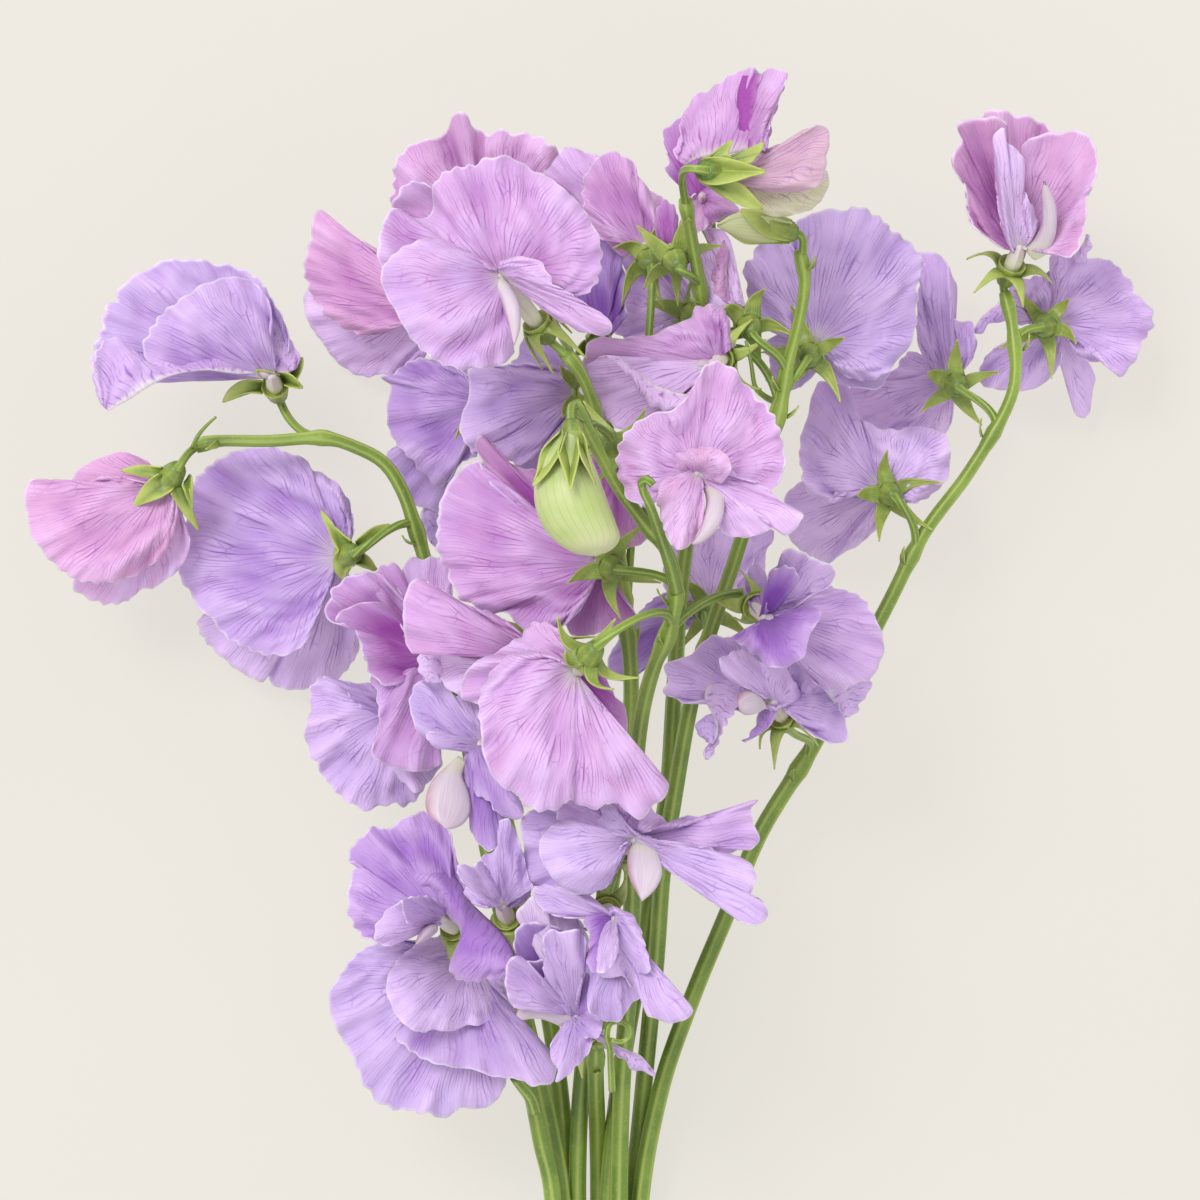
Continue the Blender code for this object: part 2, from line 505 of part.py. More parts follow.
def joined(base, collection):
    """Base with every object of the collection fused into it by one Boolean union."""
    union = base.modifiers.new("union", "BOOLEAN")
    union.operation = "UNION"
    union.operand_type = "COLLECTION"
    union.collection = collection
    union.solver = "EXACT"
    graph = bpy.context.evaluated_depsgraph_get()
    mesh = bpy.data.meshes.new_from_object(base.evaluated_get(graph))
    base.modifiers.clear()
    base.data = mesh
    for obj in list(collection.objects):
        bpy.data.objects.remove(obj)
    bpy.data.collections.remove(collection)
    builder = bmesh.new()
    builder.from_mesh(mesh)
    bmesh.ops.dissolve_limit(
        builder, angle_limit=math.radians(FLAT_ANGLE), verts=builder.verts, edges=builder.edges)
    bmesh.ops.triangulate(builder, faces=builder.faces)
    builder.to_mesh(mesh)
    builder.free()
    mesh.shade_smooth()
    mesh.set_sharp_from_angle(angle=math.radians(SHARP_ANGLE))
    return base


def repeats_collection():
    """A collection for the shapes that a union joins."""
    collection = bpy.data.collections.new("repeats")
    bpy.context.scene.collection.children.link(collection)
    return collection


def add_petal(mesh, colour, collection):
    """A petal of even thickness for the union."""
    petal = link("petal", mesh, colour, collection)
    thick = petal.modifiers.new("thickness", "SOLIDIFY")
    thick.thickness = PETAL_THICKNESS * MM
    thick.offset = 0


def bloom_colour(bloom):
    """Between lilac and rose, or pale green for a bud."""
    if "bud" in bloom:
        return PALE_GREEN
    share = bloom["rosy"]
    return tuple(a + (b - a) * share for a, b in zip(LILAC, ROSE))


def make_bloom(name, bloom, seed):
    """The standard, two wings and keel of one bloom, fused at their foot."""
    phases = np.random.default_rng(seed).uniform(0, math.tau, (3, 2))
    colour = bloom_colour(bloom)
    repeats = repeats_collection()
    for petal, phase in zip(bloom["petals"], phases):
        add_petal(petal_mesh(petal_surface(bloom, petal, phase), *FACETS[petal[0]]), colour, repeats)
    if "keel" in bloom:
        link("keel", keel_mesh(bloom), colour, repeats)
    return joined(link(name, core_mesh(bloom), colour), repeats)


def sepal_angle(bloom):
    """Degrees between a sepal and the bloom's axis. Behind a bloom that faces the eye they bend far back."""
    if "sepals" in bloom:
        return bloom["sepals"]
    if "bud" in bloom:
        return BUD_SEPALS
    faces_eye = bloom["petals"][0][2] < 90
    return HIDDEN_SEPALS if faces_eye else OPEN_SEPALS


def calyx_mesh(bloom):
    """A green cup with five pointed sepals, each grown from one face of its rim."""
    forward = bloom_forward(bloom)
    sideways = unit(np.cross([0.0, 0.0, 1.0], forward))
    axes = np.array([forward, sideways, np.cross(forward, sideways)])
    mouth = mouth_of(bloom)
    turns = np.arange(SEPALS) * math.tau / SEPALS + math.pi / 2
    profile = ((-CALYX_LENGTH, CALYX_FOOT_RADIUS), (-CALYX_LENGTH * 0.55, CALYX_RADIUS),
               (-SEPAL_THICKNESS, CALYX_MOUTH_RADIUS + 0.1), (0, CALYX_MOUTH_RADIUS))
    builder = bmesh.new()
    rings = []
    for at, radius in profile:
        ring = np.stack([np.full(SEPALS, at), radius * np.cos(turns), radius * np.sin(turns)], -1)
        rings.append([builder.verts.new(point) for point in ring @ axes * MM + mouth])
    lower, upper = rings[2:]
    angle = math.radians(sepal_angle(bloom))
    for i in range(SEPALS):
        j = (i + 1) % SEPALS
        for below, above in zip(rings[:2], rings[1:3]):
            builder.faces.new((below[i], below[j], above[j], above[i]))
        facing = turns[i] + math.pi / SEPALS
        radial = np.array([0, math.cos(facing), math.sin(facing)])
        point = radial * CALYX_MOUTH_RADIUS + np.array([-SEPAL_THICKNESS / 2, 0, 0])
        point = point + SEPAL_LENGTH * (math.sin(angle) * radial + math.cos(angle) * np.array([1, 0, 0]))
        tip = builder.verts.new(point @ axes * MM + mouth)
        for first, second in ((lower[i], lower[j]), (lower[j], upper[j]), (upper[j], upper[i]),
                              (upper[i], lower[i])):
            builder.faces.new((first, second, tip))
    builder.faces.new(rings[0])
    builder.faces.new(upper)
    bmesh.ops.recalc_face_normals(builder, faces=builder.faces)
    bmesh.ops.triangulate(builder, faces=builder.faces)
    mesh = bpy.data.meshes.new("calyx")
    builder.to_mesh(mesh)
    builder.free()
    return mesh


def tube_mesh(points, radii, resolution):
    """A round rod along points, as a mesh with filled ends."""
    curve = bpy.data.curves.new("rod", "CURVE")
    curve.dimensions = "3D"
    curve.bevel_depth = 1.0
    curve.bevel_resolution = resolution
    curve.use_fill_caps = True
    spline = curve.splines.new("POLY")
    spline.points.add(len(points) - 1)
    for spot, position, radius in zip(spline.points, points, radii):
        spot.co = (*position, 1)
        spot.radius = radius * MM
    rod = bpy.data.objects.new("rod", curve)
    mesh = bpy.data.meshes.new_from_object(rod)
    bpy.data.objects.remove(rod)
    builder = bmesh.new()
    builder.from_mesh(mesh)
    bmesh.ops.remove_doubles(builder, verts=builder.verts, dist=1e-6)
    bmesh.ops.recalc_face_normals(builder, faces=builder.faces)
    bmesh.ops.triangulate(builder, faces=builder.faces)
    builder.to_mesh(mesh)
    builder.free()
    return mesh


def stalk_points(line, bloom):
    """The flower stalk, curving out of the stem and into the foot of the calyx."""
    across, down = bloom["node"]
    height = bloom["calyx"][2]
    nearest = int(np.argmin(np.linalg.norm((line - place(across, down, height))[:, :2], axis=1)))
    nearest = min(max(nearest, 1), len(line) - 2)
    start = line[nearest]
    forward = bloom_forward(bloom)
    end = mouth_of(bloom) - forward * (CALYX_LENGTH - STALK_SUNK) * MM
    reach = min(np.linalg.norm(end - start) * STALK_BEND_SHARE, STALK_BEND * MM)
    first = start + unit(line[nearest + 1] - line[nearest - 1]) * reach
    last = end - forward * reach
    t = np.linspace(0, 1, STALK_POINTS)[:, None]
    return (1 - t) ** 3 * start + 3 * (1 - t) ** 2 * t * first + 3 * (1 - t) * t**2 * last + t**3 * end


def make_stem(name, places, blooms):
    """A stem with every stalk and calyx that grows from it, as one green solid."""
    line = smooth_line([place(*spot) for spot in places], STEM_POINT_SPACING * MM)
    radii = STEM_RADIUS * np.interp(np.linspace(0, 1, len(line)), *STEM_THINNING)
    stem = link(name, tube_mesh(line, radii, STEM_BEVEL), GREEN)
    repeats = repeats_collection()
    fine = smooth_line([place(*spot) for spot in places], FINE_SPACING * MM)
    for bloom in blooms:
        stalk = stalk_points(fine, bloom)
        link("stalk", tube_mesh(stalk, [STALK_RADIUS] * len(stalk), STALK_BEVEL), GREEN, repeats)
        link("calyx", calyx_mesh(bloom), GREEN, repeats)
    return joined(stem, repeats)


def main():
    for obj in list(bpy.data.objects):
        bpy.data.objects.remove(obj)
    seed = 0
    for stem, places in STEMS.items():
        make_stem(f"stem_{stem}", places, BLOOMS[stem])
        for number, bloom in enumerate(BLOOMS[stem], 1):
            seed += 1
            make_bloom(f"bloom_{stem}_{number}", bloom, seed)


main()
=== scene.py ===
import math

import bpy
import numpy as np
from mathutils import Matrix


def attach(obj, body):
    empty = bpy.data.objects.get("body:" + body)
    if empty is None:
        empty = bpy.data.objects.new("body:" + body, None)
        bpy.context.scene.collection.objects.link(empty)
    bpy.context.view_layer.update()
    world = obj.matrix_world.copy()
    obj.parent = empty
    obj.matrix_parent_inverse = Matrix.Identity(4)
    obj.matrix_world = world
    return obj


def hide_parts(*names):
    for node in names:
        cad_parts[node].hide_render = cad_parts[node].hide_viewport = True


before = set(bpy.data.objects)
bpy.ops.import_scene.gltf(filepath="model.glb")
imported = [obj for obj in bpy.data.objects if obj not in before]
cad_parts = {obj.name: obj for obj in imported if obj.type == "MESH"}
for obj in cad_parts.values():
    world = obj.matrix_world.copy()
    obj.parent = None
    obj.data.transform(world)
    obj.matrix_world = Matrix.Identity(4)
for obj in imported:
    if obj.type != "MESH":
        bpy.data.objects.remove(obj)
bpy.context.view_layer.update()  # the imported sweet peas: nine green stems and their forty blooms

# The bunch lies on its back and is laid out as it is seen from straight above: a place is pixels across
# and down the picture, and a height above the table.
layout = {
    "pixels": 1200,  # across the picture
    "width": 252.0,  # what the picture shows at the layout's height
    "height": 60.0,
    "eye": 1060.0,  # the camera's height
    "middle": (596.2, 800.0),  # the pixel over the origin
}


def unit(vectors):
    # every vector at length 1
    vectors = np.asarray(vectors, float)
    return vectors / np.linalg.norm(vectors, axis=-1, keepdims=True)


def place(across, down, height):
    # the pixel's offset from the picture's middle, shrunk by how much nearer the eye the height is
    nearer = (layout["eye"] - height) / (layout["eye"] - layout["height"])
    middle, pixel = layout["pixels"] / 2, layout["width"] / layout["pixels"]
    x = (across - middle) * nearer + middle - layout["middle"][0]
    y = layout["middle"][1] - middle - (down - middle) * nearer
    return np.array([x * pixel, y * pixel, height])


def traced(text):
    # the points that a text lists: pixels across and down, and a height or a lift in mm, or else 0
    return np.array([[float(number) for number in (point + ",0").split(",")[:3]] for point in text.split()])


def fromCalyx(bloom, spot):
    # the place so many pixels across and down from the middle of the bloom's calyx, and so many mm above it
    return place(*np.add(bloom["calyx"], spot))


def tracedFrom(bloom, text):
    # the points of the picture that a text lists as pixels across and down from there
    return traced(text) + [*bloom["calyx"][:2], 0]


def catmull(t, before, start, end, after):
    # t of the way along a Catmull-Rom curve from start to end
    return 0.5 * (2 * start + (end - before) * t + (2 * before - 5 * start + 4 * end - after) * t**2
                  + (3 * start - before - 3 * end + after) * t**3)


def smoothLine(points, spacing):
    # the curve through the points, with a point about every spacing
    points = np.asarray(points)
    line = np.vstack([2 * points[0] - points[1], points, 2 * points[-1] - points[-2]])
    found = []
    for four in zip(line, line[1:], line[2:], line[3:]):
        steps = max(1, round(np.linalg.norm(four[2] - four[1]) / spacing))
        found.append(catmull(np.arange(steps)[:, None] / steps, *four))
    return np.vstack([*found, points[-1:]])


def through(values, share):
    # the same curve through evenly spaced values, read at shares of the way from 0 to 1
    values = np.asarray(values, float)
    at = np.clip(share, 0, 1) * (len(values) - 1)
    i = np.clip(np.floor(at).astype(int), 0, len(values) - 2)
    return catmull(at - i, *(values[np.clip(i + k, 0, len(values) - 1)] for k in (-1, 0, 1, 2)))


def swing(at, length, start=0.0):
    # a sine wave of that length, from a start in radians
    return np.sin(at * math.tau / length + start)


def gridFaces(rows, columns):
    # a quad between every four neighbours of a grid
    index = np.arange(rows * columns).reshape(rows, columns)
    return np.stack([index[:-1, :-1], index[:-1, 1:], index[1:, 1:], index[1:, :-1]], -1).reshape(-1, 4)


def shellPart(sheet, uv, thick, tone, finish):
    # A sheet with two faces: each point moves half the thickness to both sides along its normal, and a
    # strip closes the rim. tone's fourth number is 0 on the face and 1 on the back.
    rows, columns = sheet.shape[:2]
    count = rows * columns
    normal = unit(np.cross(np.gradient(sheet, axis=1), np.gradient(sheet, axis=0)))
    half = np.broadcast_to(thick, sheet.shape[:2])[..., None] / 2
    points = np.concatenate([(sheet + normal * half).reshape(-1, 3), (sheet - normal * half).reshape(-1, 3)])
    front = gridFaces(rows, columns)
    index = np.arange(count).reshape(rows, columns)
    loop = np.concatenate([index[0, :-1], index[:-1, -1], index[-1, :0:-1], index[:0:-1, 0]])
    after = np.roll(loop, -1)
    rim = np.stack([after, loop, loop + count, after + count], -1)
    faces = np.vstack([front, front[:, ::-1] + count, rim])
    spots = np.tile(uv.reshape(-1, 2), (2, 1))
    tones = np.ones((2 * count, 4))
    tones[:, :3] = np.tile(np.broadcast_to(tone, (rows, columns, 3)).reshape(-1, 3), (2, 1))
    tones[:count, 3] = 0
    return {"points": points, "faces": [(faces, spots[faces])], "tone": tones, "finish": finish}


def framesAlong(line):
    # the side and up of a path, squared to the axis that it turns towards least
    tangent = unit(np.gradient(line, axis=0))
    axes = np.array([[0.0, 0.0, 1.0], [1.0, 0.0, 0.0], [0.0, 1.0, 0.0]])
    side = unit(np.cross(axes[np.argmin(np.abs(tangent @ axes.T).max(0))], tangent))
    return side, np.cross(tangent, side)


def tubePart(rings, finish, length=1.0):
    # Rings of points joined into a closed tube with a flat face on both ends. u runs round it and v along.
    rows, sides = rings.shape[:2]
    wrapped = gridFaces(rows, sides + 1)
    row, column = wrapped // (sides + 1), wrapped % (sides + 1)
    faces = row * sides + column % sides
    spots = np.stack([column / sides, row / (rows - 1) * length], -1)
    ends = np.stack([np.arange(sides)[::-1], (rows - 1) * sides + np.arange(sides)])
    flat = np.full((2, sides, 2), 0.5)
    flat[1, :, 1] = length
    return {"points": rings.reshape(-1, 3), "faces": [(faces, spots), (ends, flat)],
            "tone": np.zeros((rows * sides, 4)), "finish": finish}


def turnedPart(line, across, deep, finish, length=1.0):
    # a tube round a path: across and deep hold every ring's points measured sideways and upwards
    side, up = framesAlong(line)
    rings = line[:, None] + across[..., None] * side[:, None] + deep[..., None] * up[:, None]
    return tubePart(rings, finish, length)


def makePiece(name, parts, finishes):
    # one mesh of several closed shells: points, faces, spots of the UV map, tones and finishes in a row
    starts = np.cumsum([0] + [len(part["points"]) for part in parts])
    points = np.vstack([part["points"] for part in parts]) * 0.001
    points[:, 2] = np.maximum(points[:, 2], 0)
    tones = np.vstack([part["tone"] for part in parts])
    corners, spots, sizes, finish = [], [], [], []
    for part, start in zip(parts, starts):
        for faces, uv in part["faces"]:
            corners.append((faces + start).ravel())
            spots.append(uv.reshape(-1, 2))
            sizes.append(np.full(len(faces), faces.shape[1]))
            finish.append(np.full(len(faces), part["finish"]))
    corners, spots, sizes, finish = map(np.concatenate, (corners, spots, sizes, finish))
    mesh = bpy.data.meshes.new(name)
    mesh.vertices.add(len(points))
    mesh.vertices.foreach_set("co", points.ravel())
    mesh.loops.add(len(corners))
    mesh.loops.foreach_set("vertex_index", corners)
    mesh.polygons.add(len(sizes))
    mesh.polygons.foreach_set("loop_start", np.cumsum(sizes) - sizes)
    mesh.polygons.foreach_set("material_index", finish)
    mesh.polygons.foreach_set("use_smooth", np.ones(len(sizes), bool))
    mesh.update(calc_edges=True)
    mesh.uv_layers.new(name="UVMap").uv.foreach_set("vector", spots.ravel())
    mesh.attributes.new("tone", "FLOAT_COLOR", "POINT").data.foreach_set("color", tones.ravel())
    for material in finishes:
        mesh.materials.append(material)
    piece = bpy.data.objects.new(name, mesh)
    bpy.context.scene.collection.objects.link(piece)
    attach(piece, "root")
    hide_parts(name.removesuffix("_skin"))
    return len(sizes)


def hexColour(code):
    # an sRGB hex value as linear red, green, blue and full cover
    srgb = np.array([int(code[i:i + 2], 16) for i in (1, 3, 5)]) / 255
    linear = np.where(srgb <= 0.04045, srgb / 12.92, ((srgb + 0.055) / 1.055) ** 2.4)
    return (*linear, 1.0)


def setInputs(tree, node, inputs):
    # each input gets its value, or a link from the socket that is given for it
    for name, value in inputs.items():
        if isinstance(value, bpy.types.NodeSocket):
            tree.links.new(value, node.inputs[name])
        else:
            node.inputs[name].default_value = value


def addNode(tree, kind, inputs=(), out=0, **settings):
    # a node with its settings and inputs; it gives back one of its outputs
    made = tree.nodes.new("ShaderNode" + kind)
    for setting, value in settings.items():
        setattr(made, setting, value)
    setInputs(tree, made, dict(inputs))
    return made.outputs[out]


def newFinish(name):
    # an empty material, its node tree and its shader, and what its patterns follow: the UV map, that map's
    # numbers across and along the part, and the place on the object, in metres
    material = bpy.data.materials.new(name)
    material.use_nodes = True
    tree = material.node_tree
    spots = addNode(tree, "UVMap", uv_map="UVMap")
    across, along = (addNode(tree, "SeparateXYZ", {0: spots}, out=out) for out in (0, 1))
    where = addNode(tree, "TexCoord", out=3)
    return material, tree, tree.nodes["Principled BSDF"], spots, across, along, where


# Each stem's line from its cut end to its tip: pixels across and down, and mm above the table.
stems = {
    "right":
        "635,1470,8.3 638,1330,8.3 641,1200,8.3 661,1090,12.5 692,1000,17 727,915,21 761,832,25 815,743,29 "
        "885,611,33 924,534,36 968,474,39 1006,410,41 1016,371,42 1012,322,42 1005,292,42",
    "centre":
        "616,1440,13 618,1320,13 619,1200,13 622,1089,20 630,970,36 633,860,52 635,780,64 642,715,76 "
        "654,667,84 668,633,90 676,594,94 668,553,98 642,519,101 617,485,104 591,437,107 574,402,110",
    "tall":
        "627,1450,4 630,1330,4 634,1200,4 644,1089,9 656,964,20 663,872,29 674,800,36 690,710,44 708,640,50 "
        "735,560,56 760,480,61 780,408,66 788,365,69 800,318,72 805,280,74 800,250,75",
    "top":
        "607,1455,9 608,1320,9 608,1200,9 620,1080,12 640,960,16 656,860,24 668,790,30 674,700,36 680,600,45 "
        "692,500,50 700,420,55 703,350,62 700,290,70 692,240,77 685,200,84",
    "front":
        "583,1460,8 582,1320,8 577,1200,8 582,1080,12 600,950,26 620,820,42 631,700,54 624,600,62 612,500,70 "
        "600,430,78 584,380,88 567,354,93",
    "left":
        "568,1450,11 566,1320,11 562,1200,11 549,1120,11 530,1040,17 508,940,22 488,850,25 468,740,27 "
        "446,640,31 425,560,36 413,520,39 402,490,40 384,463,41 355,447,42 322,438,43 270,441,44 218,441,44 "
        "196,447,44",
    "inner":
        "573,1445,1.7 571,1320,2 568,1200,3 562,1110,7 550,1020,14 530,930,24 512,850,34 498,780,44 "
        "490,700,50 488,600,50 490,500,48 488,420,45 470,350,42",
    "low_left":
        "558,1435,16 556,1320,16 553,1200,16 541,1140,18 531,1090,22 520,1040,30 513,990,38 511,955,44",
    "low":
        "598,1440,3 598,1320,3 599,1200,3 598,1130,9 596,1075,24 597,1010,42 602,950,54 606,900,64 "
        "612,865,72",
}

# Every bloom: the middle of its calyx, and measured from there in pixels and mm, so that a bloom moves with
# its calyx, the throat where its petals part, the pixel where its stalk leaves the stem, and the rest. rosy
# is how rosy it is, sepals how far its sepals turn back, in degrees, and sepalRims the traced ones: tip, rim
# and base. A petal is its kind, its tip, its turn in degrees (0 shows its face to the eye above, 180 its
# back), what it changes in petalShape and its tone (rosy, deep, pale, green), and where it shows, its rim and
# the base line that it grows from where that isn't the claw; a third number there lifts the point towards
# the eye, in mm. more has the petals, folds and curled lips past the first three. keel is its tip and its two
# edges. A bud has its tip, its width in mm, two edges, and the rim and base of the petal lapped over it.
# A petal's deep and pale are partly its own tone and partly painted shade and painted light: deep darkens
# petals that lie in shade, pale lightens those that lie low in the bunch.
blooms = {}
blooms["right"] = [
    dict(calyx=(1008, 274, 44), throat=(13, -30, 6), node=(-3, 18), rosy=0.9, sepals=110, keel=(
        (36, -92, 16),
        "22,-18 16,-28 26,-36 33,-50 34,-69 33,-82 36,-92", "28,-14 38,-20 46,-34 49,-50 48,-68 42,-84 36,-92"
    ), petals=[
        ("standard", (16, -176, -2), 0, dict(rosy=0.75, deep=0.25, bulge=-3),
         "-8,-27 -23,-38 -36,-49 -41,-64 -42,-78 -45,-94 -53,-102 -56,-114 -52,-126 -46,-134 -50,-148 "
         "-45,-154 -33,-156 -25,-157,2 -23,-162,2 -12,-165,2 0,-162,1 5,-159 16,-159 29,-154 40,-147 50,-140 "
         "62,-134 72,-114 74,-84 70,-54 60,-29 42,-20"),
        ("wing", (-8, -164, 14), 35, dict(rosy=1, deep=0.6, bulge=-2),
         "-6,-26 -20,-36 -32,-45 -39,-58 -41,-74 -44,-91 -53,-102 -56,-114 -52,-125 -46,-133 -49,-142,1 "
         "-51,-150,2 -40,-154 -28,-156 -15,-157,1 -4,-154,3 -1,-150,4 -6,-143,2 -12,-140 -14,-130 -13,-114 "
         "-12,-94 -8,-69 0,-46 6,-30"),
        ("wing", (66, -124, 10), -20, dict(rosy=0.75, bulge=-3, ruffle=0.6),
         "22,-24 18,-59 15,-89 14,-114 15,-130 27,-137 40,-141 52,-141 67,-144,1 78,-140,2 85,-132,2 "
         "89,-119,2 90,-106,1 86,-91 80,-77 78,-62 78,-52 74,-39 71,-27 64,-18 58,-17 50,-20 37,-22"),
    ], more=[
        ("wing", (-8, -144, 22), 0, dict(pale=1, bulge=3, ruffle=0.3),
         "6,-24 -4,-38 -9,-59 -12,-84 -13,-104 -14,-124 -15,-136 -10,-144,1 -4,-146,1 -3,-134 4,-128 11,-122 "
         "16,-114 16,-104 13,-94 16,-84 22,-72 28,-59 30,-51 28,-40 20,-31"),
    ]),
    dict(calyx=(1044, 326, 34), throat=(10, -4, -8), node=(-29, 19), rosy=0.3, petals=[
        ("standard", (108, -26, -12), 180, dict(rosy=0.85, bulge=2, pale=0.1),
         "-14,-4 -32,-6 -38,-16 -40,-26 -36,-36 -28,-43 -14,-48 2,-52 8,-60,-2 6,-68,-2 14,-74 26,-70,2 "
         "35,-74,2 40,-68 51,-68 64,-66 74,-59 82,-49 91,-39 90,-32 101,-26 108,-14 109,-1 103,9 97,19 94,30 "
         "85,42 76,51 69,42 64,32 52,36 39,34 28,19"),
        ("wing", (-65, 48, -22), 180, dict(rosy=0.2, pale=0.5),
         "-14,9 -32,16 -44,19 -54,26 -61,36 -66,49 -64,57 -54,62 -39,64 -24,65 -9,62 4,54 14,42 18,29 "
         "16,16"),
        ("wing", (39, 90, -25), 160, dict(rosy=0.4, pale=1, ruffle=0.5),
         "8,9 14,24 19,39 21,52 25,65 28,75 30,85 36,92 44,89 47,79 48,67 51,54 49,44 42,34 36,24 24,9"),
    ], more=[
        ("wing", (-72, 8, -14), 180, dict(rosy=0.4, ruffle=0.3, pale=0.4),
         "-9,-1 -24,-2 -37,-5 -46,-5 -56,0 -64,7 -72,10",
         "-14,-12 -29,-24 -41,-26 -48,-20 -56,-14 -64,-6 -72,8"),
        ("wing", (44, -92, -4), 180, dict(rosy=0.9, ruffle=0.2, pale=0.9),
         "40,-64 44,-73 47,-80 46,-90", "28,-64 35,-76 40,-83 43,-92"),
    ]),
    dict(calyx=(957, 386, 32), throat=(-8, -8, -8), node=(30, 52), rosy=0.2, petals=[
        ("standard", (-31, -136, -12), 170, dict(rosy=0.6, pale=0.05),
         "-27,-11 -36,-34 -41,-56 -40,-76 -38,-96 -37,-108 -42,-121 -43,-132 -35,-134 -22,-133 -11,-125 "
         "-6,-113 0,-97 -4,-83 -9,-71,1 -5,-67,1 5,-66 14,-63 18,-55 19,-43 18,-34 13,-24 5,-16"),
        ("wing", (-97, 10, -23), 180, dict(rosy=0.9, pale=1),
         "-22,-21 -42,-34 -52,-31 -57,-24 -64,-15 -85,-5 -104,-1 -108,5 -106,19 -102,28 -93,36 -80,43 -65,45 "
         "-53,44 -48,41 -48,30 -44,20 -35,14 -19,7"),
        ("wing", (-23, 50, -31.2), 180, dict(pale=1, rosy=0.4),
         "-25,-1 -42,17 -48,29 -48,42 -42,51 -32,55 -19,53 -10,45 -5,34 -3,14"),
    ]),
    dict(calyx=(891, 495, 38), throat=(-11, -7, -7), node=(15, 61), rosy=0.15, petals=[
        ("standard", (-29, -109, -9), 180, dict(rosy=0.5, bulge=2.5, pale=0.6),
         "-23,0 -38,-7 -53,-4 -63,4 -70,12 -74,4 -83,-4 -88,-13 -89,-26 -92,-36 -91,-47 -90,-60 -84,-75 "
         "-81,-90 -77,-105 -71,-113 -59,-114 -44,-110 -40,-93 -35,-82 -25,-73 -11,-67 4,-65 17,-67 31,-68 "
         "47,-64 56,-59 59,-45 59,-33 58,-23 55,-14 47,-6 37,2 24,8 9,8"),
        ("wing", (-85, 61, -33), 180, dict(rosy=0.2, pale=1, bulge=2),
         "-23,-1 -46,-5 -66,5 -79,-5 -88,-14 -97,-8 -105,-1 -107,10 -109,25 -104,38 -95,51 -83,59 -72,65 "
         "-61,68 -53,61 -42,55 -31,49 -21,40 -13,31 -7,17"),
        ("wing", (-61, -55, -22), 180, dict(breadth=0.5)),
    ]),
    dict(calyx=(784, 721, 52), throat=(-12, -21, 9), node=(16, 47), rosy=0.4, keel=(
        (-40, -13, 17),
        "-22,-21 -27,-26 -36,-31 -43,-29 -46,-21", "-18,-13 -23,-10 -29,-7 -38,-6 -44,-11"
    ), petals=[
        ("standard", (-24, -81, 2), 0, dict(rosy=0.2, pale=0.35, bulge=-2),
         "6,-9 16,3 28,14 41,20 54,23 63,17 64,7 59,-6 54,-21 50,-30 42,-32 31,-41 27,-53 22,-66 14,-76 "
         "-4,-79 -24,-79 -44,-81,2 -60,-84,3 -71,-85,2 -81,-81 -87,-71 -104,-62 -116,-59 -120,-51 -116,-41 "
         "-121,-28 -109,-23 -101,-18 -89,-19 -78,-21 -64,-16 -44,-9"),
        ("wing", (-62, -53, 20), 10, dict(rosy=0.7, bulge=3, pale=0.6),
         "-27,-23 -36,-31 -46,-37 -56,-42 -63,-52 -65,-61 -57,-66 -46,-71 -36,-68 -24,-59 -13,-56 -1,-58 "
         "4,-49 9,-41 16,-31 20,-23 11,-18 1,-14 -8,-10 -16,-11 -22,-16"),
        ("wing", (-80, 35, 18), 40, dict(rosy=0.8, ruffle=0.5, bulge=1, pale=0.9),
         "-46,-37 -43,-29 -44,-21 -48,-11 -56,-1 -62,11 -66,21 -70,31 -75,38",
         "-60,-42 -72,-40 -78,-31 -79,-21 -73,-9 -67,1 -68,14 -76,24 -81,31 -78,38"),
    ], more=[
        ("wing", (-84, 9, 18), 20, dict(rosy=0.3, ruffle=0.2),
         "-80,-4 -89,6 -84,14 -78,21", "-73,-7 -67,0 -67,13 -72,23"),
        ("wing", (-40, 20, 8), 0, dict(rosy=0.6, deep=0.3, ruffle=0.3),
         "-23,-13 -26,-3 -30,7 -34,14 -41,20", "-7,-9 -13,3 -22,11 -32,17 -39,21"),
        ("wing", (76, -11, 4), 0, dict(rosy=0, pale=1, ruffle=0.4),
         "64,-37 85,-40 85,-29 76,-18 72,-8 64,-4", "36,-36 48,-21 59,-4"),
    ]),
]
